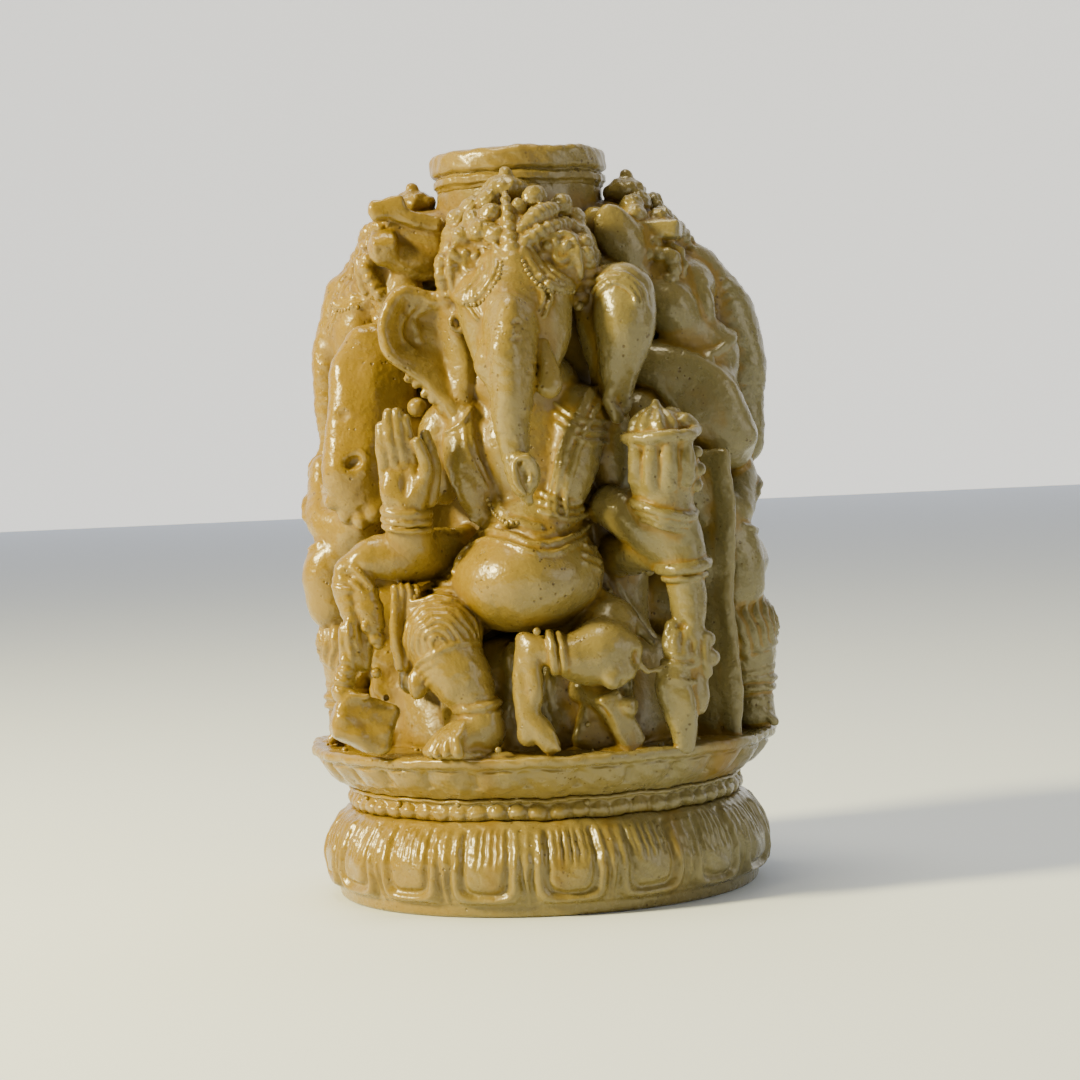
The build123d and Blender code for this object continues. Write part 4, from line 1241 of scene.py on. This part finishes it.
def makeResin():
    look = resinLook
    material = bpy.data.materials.new("cast_resin")
    material.use_nodes = True
    tree = material.node_tree
    tree.nodes.clear()
    g = Graph(tree)
    place = g.node("ShaderNodeTexCoord", output=3)

    def noise(scale, detail=3.0, rough=0.5):
        values = {"Vector": place, "Scale": scale, "Detail": detail, "Roughness": rough}
        return g.node("ShaderNodeTexNoise", {}, values)

    def dots(scale, inner, outer):
        cells = g.node("ShaderNodeTexVoronoi", {}, {"Vector": place, "Scale": scale, "Randomness": 1.0})
        return 1.0 - cells.step(inner, outer)

    def attribute(name):
        return g.node("ShaderNodeAttribute", {"attribute_name": name}, output=2)

    hollow, crevice = attribute("hollow"), attribute("crevice")
    xyz = g.node("ShaderNodeSeparateXYZ", {}, {"Vector": place})
    cloud, patch, fine = noise(38.0), noise(120.0, 4.0, 0.6), noise(900.0, 2.0)
    # painted light: a warm lit colour towards -X, where the key lamp stands, and a cool shaded colour towards
    # +X
    paintedWarmLightSide = (xyz * -22.0 + cloud * 1.6 - 0.35).step(0.1, 1.3)
    paintedCoolShadeSide = (xyz * 24.0 + cloud * 1.1 - 0.55).step(0.0, 1.1)
    colour = g.mix(paintedWarmLightSide, look["pale"], look["paintedWarmLight"])
    colour = g.mix(paintedCoolShadeSide * look["paintedCoolShadeShare"], colour, look["paintedCoolShade"])
    stain = noise(260.0, 5.0, 0.7)
    # amber laid over the hollows and crevices is painted shade; the noise terms in it add real stain at
    # random
    stainAndPaintedShade = (crevice * 2.2 + hollow * 1.6 + patch * 0.8 + stain * 0.7 + cloud * 0.5 + paintedWarmLightSide * 0.12
            - 1.12).step(0.0, 0.6)
    colour = g.mix(stainAndPaintedShade * look["stainAndShadeShare"], colour, look["amberStainAndShade"])
    # painted shade: the darkest colour laid into the deepest hollows, kept off the deck
    deepPaintedShade = (crevice * 0.5 + hollow * 2.2 + patch * 0.7 - 1.25).step(0.0, 0.8)
    deepPaintedShade = deepPaintedShade * xyz.other("Z").step(*look["deckHeight"])
    colour = g.mix(deepPaintedShade * look["deepShadeShare"], colour, look["soilAndDeepShade"])
    pore = dots(look["poreScale"], 0.12, 0.24) * noise(210.0, 2.0).step(0.52, 0.66)
    colour = g.mix(pore * 0.8, colour, look["soilAndDeepShade"])
    speck = dots(look["speckScale"], 0.1, 0.2) * stain.step(0.5, 0.6)
    colour = g.mix(speck * 0.75, colour, look["soilAndDeepShade"])

    grain = fine * 0.3 + patch * 1.6 - pore * 0.8 + noise(330.0, 3.0) * 1.1 + stain * 0.5
    bump = g.node("ShaderNodeBump", {}, {"Height": grain, "Strength": 0.5, "Distance": look["bumpDepth"]})
    rough = 0.17 + patch * 0.14 + stainAndPaintedShade * 0.24 + fine * 0.06
    shader = g.node("ShaderNodeBsdfPrincipled", {}, {
        "Base Color": colour, "Roughness": rough, "Normal": bump, "IOR": 1.5,
        "Subsurface Weight": look["scatter"], "Subsurface Radius": look["scatterRadius"],
        "Subsurface Scale": look["scatterScale"], "Coat Weight": look["coat"], "Coat Roughness": 0.12,
    })
    g.node("ShaderNodeOutputMaterial", {}, {"Surface": shader})
    return material


resin = makeResin()


def finished(piece, *nodes):
    if not piece.data.materials:
        piece.data.materials.append(resin)
    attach(piece, "root")
    if nodes:
        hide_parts(*nodes)
    return piece


def marked(mesh, points, relief=None):
    # how sunken the surface is at each point, for the painted shade in the hollows and crevices
    start, gain = sunken["hollow"]
    hollow = np.clip((sampled(hollowMap, thin, points) - start) * gain, 0, 1)
    if relief is None:
        start, gain = sunken["crevice"]
        crevice = np.clip((sampled(creviceMap, 1, points) - start) * gain, -0.5, 1)
    else:
        # a turned piece brings its own relief
        crevice = np.clip(0.08 - relief * 0.25, -0.3, 0.45)
        hollow = hollow * 0.6
    for name, numbers in (("hollow", hollow), ("crevice", crevice)):
        mesh.attributes.new(name, "FLOAT", "POINT").data.foreach_set("value", numbers.astype(np.float32))


def largeParts(count, a, b, fewest):
    # which points belong to an island of at least so many points, joined by the edges from a to b
    label = np.arange(count)
    while True:
        low = np.minimum(label[a], label[b])
        new = label.copy()
        np.minimum.at(new, a, low)
        np.minimum.at(new, b, low)
        for _ in range(4):
            new = new[new]
        if np.array_equal(new, label):
            break
        label = new
    return np.bincount(label, minlength=count)[label] >= fewest


def castPiece(index, lump):
    # the lump's own share of the whole casting, as a closed mesh
    block, d = lump.block, lump.field
    others = np.where(owner[block] == index, second[block], nearest[block])
    over = d - others
    dip = clay["seamDip"] * ease(over, 0, clay["seamOverlap"])
    field = np.maximum(whole[block] + dip, over - clay["seamOverlap"])
    grid = openvdb.FloatGrid(background=1.0)
    grid.copyFromArray(np.pad(field, 1, constant_values=1.0).astype(np.float32))
    points, triangles, quads = grid.convertToPolygons(isovalue=0.0, adaptivity=clay["merging"])
    start = np.array([gridLines[i][block[i].start] for i in range(3)])
    points = (points - 1) * cell + start
    ends = [np.concatenate([quads.ravel(), triangles.ravel()]),
            np.concatenate([np.roll(quads, -1, 1).ravel(), np.roll(triangles, -1, 1).ravel()])]
    kept = largeParts(len(points), *ends, clay["fewest"])
    fresh = np.cumsum(kept) - 1
    quads = fresh[quads[kept[quads[:, 0]]]]
    triangles = fresh[triangles[kept[triangles[:, 0]]]]
    points = points[kept]
    corners = np.concatenate([quads.ravel(), triangles.ravel()]).astype(np.int32)
    starts = np.concatenate([np.arange(len(quads)) * 4, len(quads) * 4 + np.arange(len(triangles)) * 3])
    mesh = bpy.data.meshes.new(lump.name)
    mesh.vertices.add(len(points))
    mesh.vertices.foreach_set("co", (warp(points) * mm).astype(np.float32).ravel())
    mesh.loops.add(len(corners))
    mesh.loops.foreach_set("vertex_index", corners)
    mesh.polygons.add(len(starts))
    mesh.polygons.foreach_set("loop_start", starts.astype(np.int32))
    mesh.update(calc_edges=True)
    mesh.shade_smooth()
    marked(mesh, points)
    finished(linked(f"{lump.name}_cast", mesh), lump.name)
    return len(quads) * 2 + len(triangles)


triangleCount = [castPiece(index, lump) for index, lump in enumerate(lumps)]
print("clay cast:", sum(triangleCount), "triangles, the most in one piece", max(triangleCount))


def makeTurned(name, node, shape, relief):
    # the profile holds (share of the rows, radius, height) from the axis below to the axis above, mm
    profile = shape["profile"]
    g, source, result = geometryTree(name, {"Columns": "NodeSocketInt", "Rows": "NodeSocketInt",
                                            "Material": "NodeSocketMaterial"})
    sheet = g.node("GeometryNodeMeshGrid", {}, {"Vertices X": source["Columns"],
                                                "Vertices Y": source["Rows"]})
    across = g.node("ShaderNodeSeparateXYZ", {}, {"Vector": g.node("GeometryNodeInputPosition")})
    share = across.other("Y") + 0.5
    angle = (across + 0.5) * (2 * math.pi)
    widest = max(p[1] for p in profile)
    highest = max(p[2] for p in profile)

    def curve(column, limit):
        made = g.node("ShaderNodeFloatCurve", {}, {"Value": share})
        line = made.socket.node.mapping
        points = line.curves[0].points
        places = [(p[0], p[column] / limit) for p in profile]
        points[0].location = places[0]
        points[-1].location = places[-1]
        for place in places[1:-1]:
            points.new(*place)
        for point in points:
            point.handle_type = "AUTO_CLAMPED"
        line.update()
        return made * limit

    radius, height = curve(1, widest), curve(2, highest)
    raised = relief(angle, height)
    radius = (radius + raised * radius.step(widest * 0.6, widest * 0.8)) * mm
    spot = g.node("ShaderNodeCombineXYZ", {}, {"X": angle.math("COSINE") * radius,
                                               "Y": angle.math("SINE") * radius, "Z": height * mm})
    put = g.node("GeometryNodeSetPosition", {}, {"Geometry": sheet, "Position": spot})
    keep = g.node("GeometryNodeStoreNamedAttribute", {"data_type": "FLOAT", "domain": "POINT"},
                  {"Geometry": put, "Name": "relief", "Value": raised})
    sewn = g.node("GeometryNodeMergeByDistance", {}, {"Geometry": keep, "Distance": 0.00001})
    smooth = g.node("GeometryNodeSetShadeSmooth", {}, {"Geometry": sewn})
    tree = ended(g, smooth, source, result)
    values = {"Columns": shape["columns"] + 1, "Rows": shape["rows"], "Material": resin}
    piece = grown(name, bpy.data.meshes.new(name), tree, values)
    mesh = piece.data
    points = pointsOf(mesh)
    raisedHere = np.empty(len(points), np.float32)
    mesh.attributes["relief"].data.foreach_get("value", raisedHere)
    mesh.vertices.foreach_set("co", (warp(points) * mm).astype(np.float32).ravel())
    mesh.update()
    marked(mesh, points, raisedHere)
    return finished(piece, node)


lotus = {
    "columns": 680,
    "rows": 116,
    "petals": 17,
    "turn": -103.7,      # degrees, the middle of a petal
    "halfWidth": 4.7,    # to the middle of a petal's raised rim
    "bend": 7.6,         # the height where the rim starts to close into its tip
    "profile": [(0, 0, 0), (0.05, 33.2, 0), (0.08, 34.2, 0.25), (0.12, 34.5, 1.2), (0.15, 34.6, 1.9),
                (0.18, 35.3, 2.5), (0.30, 36.0, 4.6), (0.46, 36.2, 7.2), (0.62, 35.6, 9.8),
                (0.76, 34.4, 12.0), (0.84, 33.4, 13.4), (0.88, 32.6, 14.2), (0.91, 31.6, 14.5), (1, 0, 14.5)],
}


def petalRelief(angle, height):
    # s runs across a petal and q out from its middle, both in mm; leaves stand between the petals
    turn = angle * (lotus["petals"] / (2 * math.pi)) + (0.5 - lotus["turn"] * lotus["petals"] / 360 + 40)
    width = 2 * math.pi * 35.2 / lotus["petals"]
    wander = (angle * 5.0).math("SINE") * 0.18 + (angle * 11.0 + 1.0).math("SINE") * 0.14
    s = (turn.math("FRACT") - 0.5) * width + wander
    drop = (lotus["bend"] - height).above(0.0)
    q = (s ** 4.0 + (drop * 0.94) ** 4.0) ** 0.25
    inner = lotus["halfWidth"]
    rim = q.bell(inner, 0.65) * 0.62
    groove = q.bell(inner - 1.15, 0.42) * -0.4
    tongue = (1.0 - q.step(inner - 2.2, inner - 1.3)) * 0.35
    slits = (s * 5.4).math("COSINE").step(0.2, 0.95) * height.step(7.2, 10.5) * (1.0 - q.step(2.0, 2.9))
    outside = q.step(inner + 0.55, inner + 1.2)
    gap = ((turn + 0.5).math("FRACT") - 0.5) * width + wander
    leafWidth = (height - 3.6).above(0.0) * 0.17
    leaf = 1.0 - (gap.size() - leafWidth).step(-0.35, 0.35)
    between = outside * (leaf * 0.85 - 0.55) + outside * gap.bell(0.0, 0.25) * leaf * 0.3
    fade = height.step(1.9, 2.9) * (1.0 - height.step(12.9, 13.9))
    return (rim + groove + tongue + slits * -0.55 + between) * fade


makeTurned("lotus_plinth", "plinth_lotus", lotus, petalRelief)

band = {
    "columns": 744,
    "rows": 60,
    "beads": 62,
    "profile": [(0, 0, 14.5), (0.06, 30.8, 14.5), (0.10, 31.6, 14.7), (0.40, 31.9, 15.9), (0.62, 31.6, 16.9),
                (0.70, 31.8, 17.3), (0.80, 32.3, 17.6), (0.90, 32.1, 17.95), (0.94, 31.2, 18.1),
                (1, 0, 18.1)],
}


def beadRelief(angle, height):
    pitch = 2 * math.pi * 32 / band["beads"]
    s = ((angle * (band["beads"] / (2 * math.pi))).math("FRACT") - 0.5) * pitch
    level = height - 15.85
    bead = (1.0 - (s * s + level * level * 1.15) / 2.1).root()
    uneven = (angle * 7.0).math("SINE") * 0.2 + 0.75
    return bead * uneven * 0.95


makeTurned("bead_band", "plinth_bead_band", band, beadRelief)

saucer = {
    "columns": 620,
    "rows": 100,
    "scallops": 28,
    "profile": [(0, 0, 18.1), (0.06, 31.4, 18.1), (0.12, 32.8, 18.5), (0.26, 34.4, 19.7), (0.42, 35.8, 21.3),
                (0.54, 36.7, 22.6), (0.60, 37.4, 23.2), (0.66, 38.0, 23.6), (0.71, 38.2, 24.2),
                (0.76, 38.0, 24.8), (0.80, 37.2, 25.0), (0.84, 35.8, 24.9), (1, 0, 24.9)],
}


def scallopRelief(angle, height):
    s = ((angle * (saucer["scallops"] / (2 * math.pi)) + 0.2).math("FRACT") - 0.5) * 2.0
    bulge = (1.0 - s * s * 0.95).root() * 1.7 - 1.2
    edge = height - (18.9 + s * s * 1.1)
    shaped = bulge * edge.step(-0.1, 0.5) * (1.0 - height.step(22.4, 23.0))
    lip = (angle * 9.0 + 1.0).math("SINE") * 0.14 + (angle * 23.0).math("SINE") * 0.1
    return shaped + lip * height.step(22.8, 23.6) - height.bell(23.1, 0.3) * 0.25


makeTurned("saucer", "plinth_saucer", saucer, scallopRelief)

cap = {
    "columns": 300,
    "rows": 90,
    "profile": [(0, 0, 113.6), (0.06, 13.2, 113.6), (0.14, 13.7, 114.2), (0.24, 14.1, 114.7),
                (0.34, 14.1, 115.4), (0.42, 13.6, 115.9), (0.48, 13.5, 116.1),
                (0.54, 14.1, 116.4), (0.64, 14.4, 117.2),
                (0.76, 14.4, 118.6), (0.84, 14.1, 119.5), (0.90, 13.4, 119.9), (0.94, 12.2, 120.0),
                (1, 0, 119.7)],
}


def capRelief(angle, height):
    return (angle * 7.0 + 0.6).math("SINE") * 0.06 + (angle * 3.0 + height * 0.4).math("SINE") * 0.08


makeTurned("cap", "neck_cap", cap, capRelief)
print("plinth and cap turned")


def makePearlTree():
    g, source, result = geometryTree("pearls", {"Spacing": "NodeSocketFloat", "Radius": "NodeSocketFloat",
                                                "Material": "NodeSocketMaterial"})
    even = g.node("GeometryNodeCurveToPoints", {"mode": "LENGTH"},
                  {"Curve": source["Geometry"], "Length": source["Spacing"]})
    bead = g.node("GeometryNodeMeshIcoSphere", {}, {"Radius": source["Radius"], "Subdivisions": 2})
    smooth = g.node("GeometryNodeSetShadeSmooth", {}, {"Geometry": bead})
    placed = g.node("GeometryNodeInstanceOnPoints", {}, {"Points": even, "Instance": smooth})
    return ended(g, placed, source, result)


pearlTree = makePearlTree()


def turnedPoints(points, quarter):
    for _ in range(quarter % 4):
        points = np.stack([-points[:, 1], points[:, 0], points[:, 2]], 1)
    return points


def makePearls(figure, quarter):
    for part, strings in pearlLines.items():
        for number, (path, radius, spacing) in enumerate(strings):
            name = f"{figure}_{part}_pearls_{number}"
            points = warp(turnedPoints(path, quarter)) * mm
            curve = bpy.data.curves.new(name, "CURVE")
            curve.dimensions = "3D"
            spline = curve.splines.new("POLY")
            spline.points.add(len(points) - 1)
            spline.points.foreach_set("co", np.column_stack([points, np.ones(len(points))]).ravel())
            values = {"Spacing": spacing * radius * 2 * mm, "Radius": radius * mm, "Material": resin}
            piece = grown(name, curve, pearlTree, values)
            marked(piece.data, pointsOf(piece.data))
            finished(piece)


bubbles = {
    "scattered": 60,
    "seed": 11,
    "size": (0.25, 0.6),
    "underSaucer": (31.8, 16.8, 18.2),   # how far out, and between which heights
    "onDeck": (27, 36.4, 25.0),          # between which distances out, and how high
    # those that show singly: X, Y, Z, radius
    "placed": [(-16.8, -17.0, 78.9, 1.6), (1.2, -35.6, 43.9, 0.6), (12.4, -24.0, 48.7, 0.5),
               (-23.2, -26.4, 33.8, 0.55), (8.0, -31.6, 29.0, 0.45), (-5.4, -36.4, 26.2, 0.5),
               (18.7, -23.6, 52.0, 0.9), (17.9, -23.4, 53.6, 0.4), (13.4, -23.6, 47.4, 0.35),
               (-14.6, -17.6, 77.2, 0.7)],
}


def makeBubbles():
    # beads of resin where air was caught in the mould
    g, source, result = geometryTree("bubbles", {"Material": "NodeSocketMaterial"})
    size = g.node("GeometryNodeInputNamedAttribute", {"data_type": "FLOAT"}, {"Name": "size"})
    bead = g.node("GeometryNodeMeshIcoSphere", {}, {"Radius": 1.0, "Subdivisions": 3})
    smooth = g.node("GeometryNodeSetShadeSmooth", {}, {"Geometry": bead})
    placed = g.node("GeometryNodeInstanceOnPoints", {}, {"Points": source["Geometry"], "Instance": smooth,
                                                         "Scale": size})
    tree = ended(g, placed, source, result)
    spots = list(bubbles["placed"])
    chance = np.random.default_rng(bubbles["seed"])
    for number in range(bubbles["scattered"]):
        # close together round the plinth, by turns under the saucer and on the deck
        angle = (number // 3) * 0.33 + chance.uniform(-0.05, 0.05)
        if number % 2:
            far, lowest, highest = bubbles["underSaucer"]
            z = chance.uniform(lowest, highest)
        else:
            near, far, z = bubbles["onDeck"]
            far = chance.uniform(near, far)
        spots.append((far * math.cos(angle), far * math.sin(angle), z, chance.uniform(*bubbles["size"])))
    spots = np.array(spots)
    points = bpy.data.meshes.new("bubble_places")
    points.vertices.add(len(spots))
    points.vertices.foreach_set("co", (warp(spots[:, :3]) * mm).ravel())
    points.attributes.new("size", "FLOAT", "POINT").data.foreach_set("value", spots[:, 3] * mm)
    finished(grown("bubbles", points, tree, {"Material": resin}))


makeBubbles()
for figure, quarter in turns.items():
    makePearls(figure, quarter)
print("pearls strung")


studio = {
    "reach": 6,                        # half the floor's side, m
    "backdropY": 2.5,
    "floorColour": (0.72, 0.8, 0.98, 1),
    "backdropGlow": (1.0, 0.99, 0.96, 1),
    "air": (1.0, 0.9, 0.66, 1),
    "airStrength": 0.2,
}


def stagePlane(name, corners, values):
    mesh = bpy.data.meshes.new(name)
    mesh.from_pydata(corners, [], [(0, 1, 2, 3)])
    material = bpy.data.materials.new(name)
    material.use_nodes = True
    shader = material.node_tree.nodes["Principled BSDF"]
    for label, value in values.items():
        shader.inputs[label].default_value = value
    mesh.materials.append(material)
    linked(name, mesh)


reach, backdropY = studio["reach"], studio["backdropY"]
stagePlane("floor", [(-reach, -reach, 0), (reach, -reach, 0), (reach, reach, 0), (-reach, reach, 0)],
           {"Base Color": studio["floorColour"], "Roughness": 0.9})
stagePlane("backdrop", [(-reach, backdropY, -0.2), (reach, backdropY, -0.2), (reach, backdropY, 5),
                        (-reach, backdropY, 5)],
           {"Emission Color": studio["backdropGlow"], "Emission Strength": 1.0})

world = bpy.data.worlds.new("studio")
world.use_nodes = True
air = world.node_tree.nodes["Background"]
air.inputs["Color"].default_value = studio["air"]
air.inputs["Strength"].default_value = studio["airStrength"]
bpy.context.scene.world = world

objectMiddle = Vector((0, 0, 0.06))
lamps = {  # place, size, power, colour
    "key": ((-0.62, -0.28, 0.42), 0.16, 19.4, (1.0, 0.84, 0.36)),
    "top": ((-0.08, -0.02, 0.75), 0.3, 3.2, (1.0, 0.88, 0.55)),
    "fill": ((0.6, -0.35, 0.25), 0.45, 1.3, (1.0, 0.94, 0.76)),
}
for name, (place, size, power, colour) in lamps.items():
    light = bpy.data.lights.new(name, "AREA")
    light.shape = "DISK"
    light.size = size
    light.energy = power
    light.color = colour
    lamp = linked(name, light)
    lamp.location = place
    lamp.rotation_euler = (objectMiddle - Vector(place)).to_track_quat("-Z", "Y").to_euler()

view = {
    "distance": 457 * mm,
    "side": 2.3,        # degrees towards +X
    "height": 73 * mm,
    "aim": Vector((0.92, 0.04, 56.5)) * mm,
    "lens": 92.67,
    "roll": -2.59,
}
cameraData = bpy.data.cameras.new("camera")
cameraData.lens = view["lens"]
cameraData.sensor_width = 36
cameraData.clip_start = 0.01
camera = linked("camera", cameraData)
way = math.radians(view["side"])
camera.location = (view["distance"] * math.sin(way), -view["distance"] * math.cos(way), view["height"])
look = (view["aim"] - camera.location).to_track_quat("-Z", "Y").to_matrix()
camera.rotation_euler = (look @ Matrix.Rotation(math.radians(view["roll"]), 3, "Z")).to_euler()
bpy.context.scene.camera = camera
print("stage set")
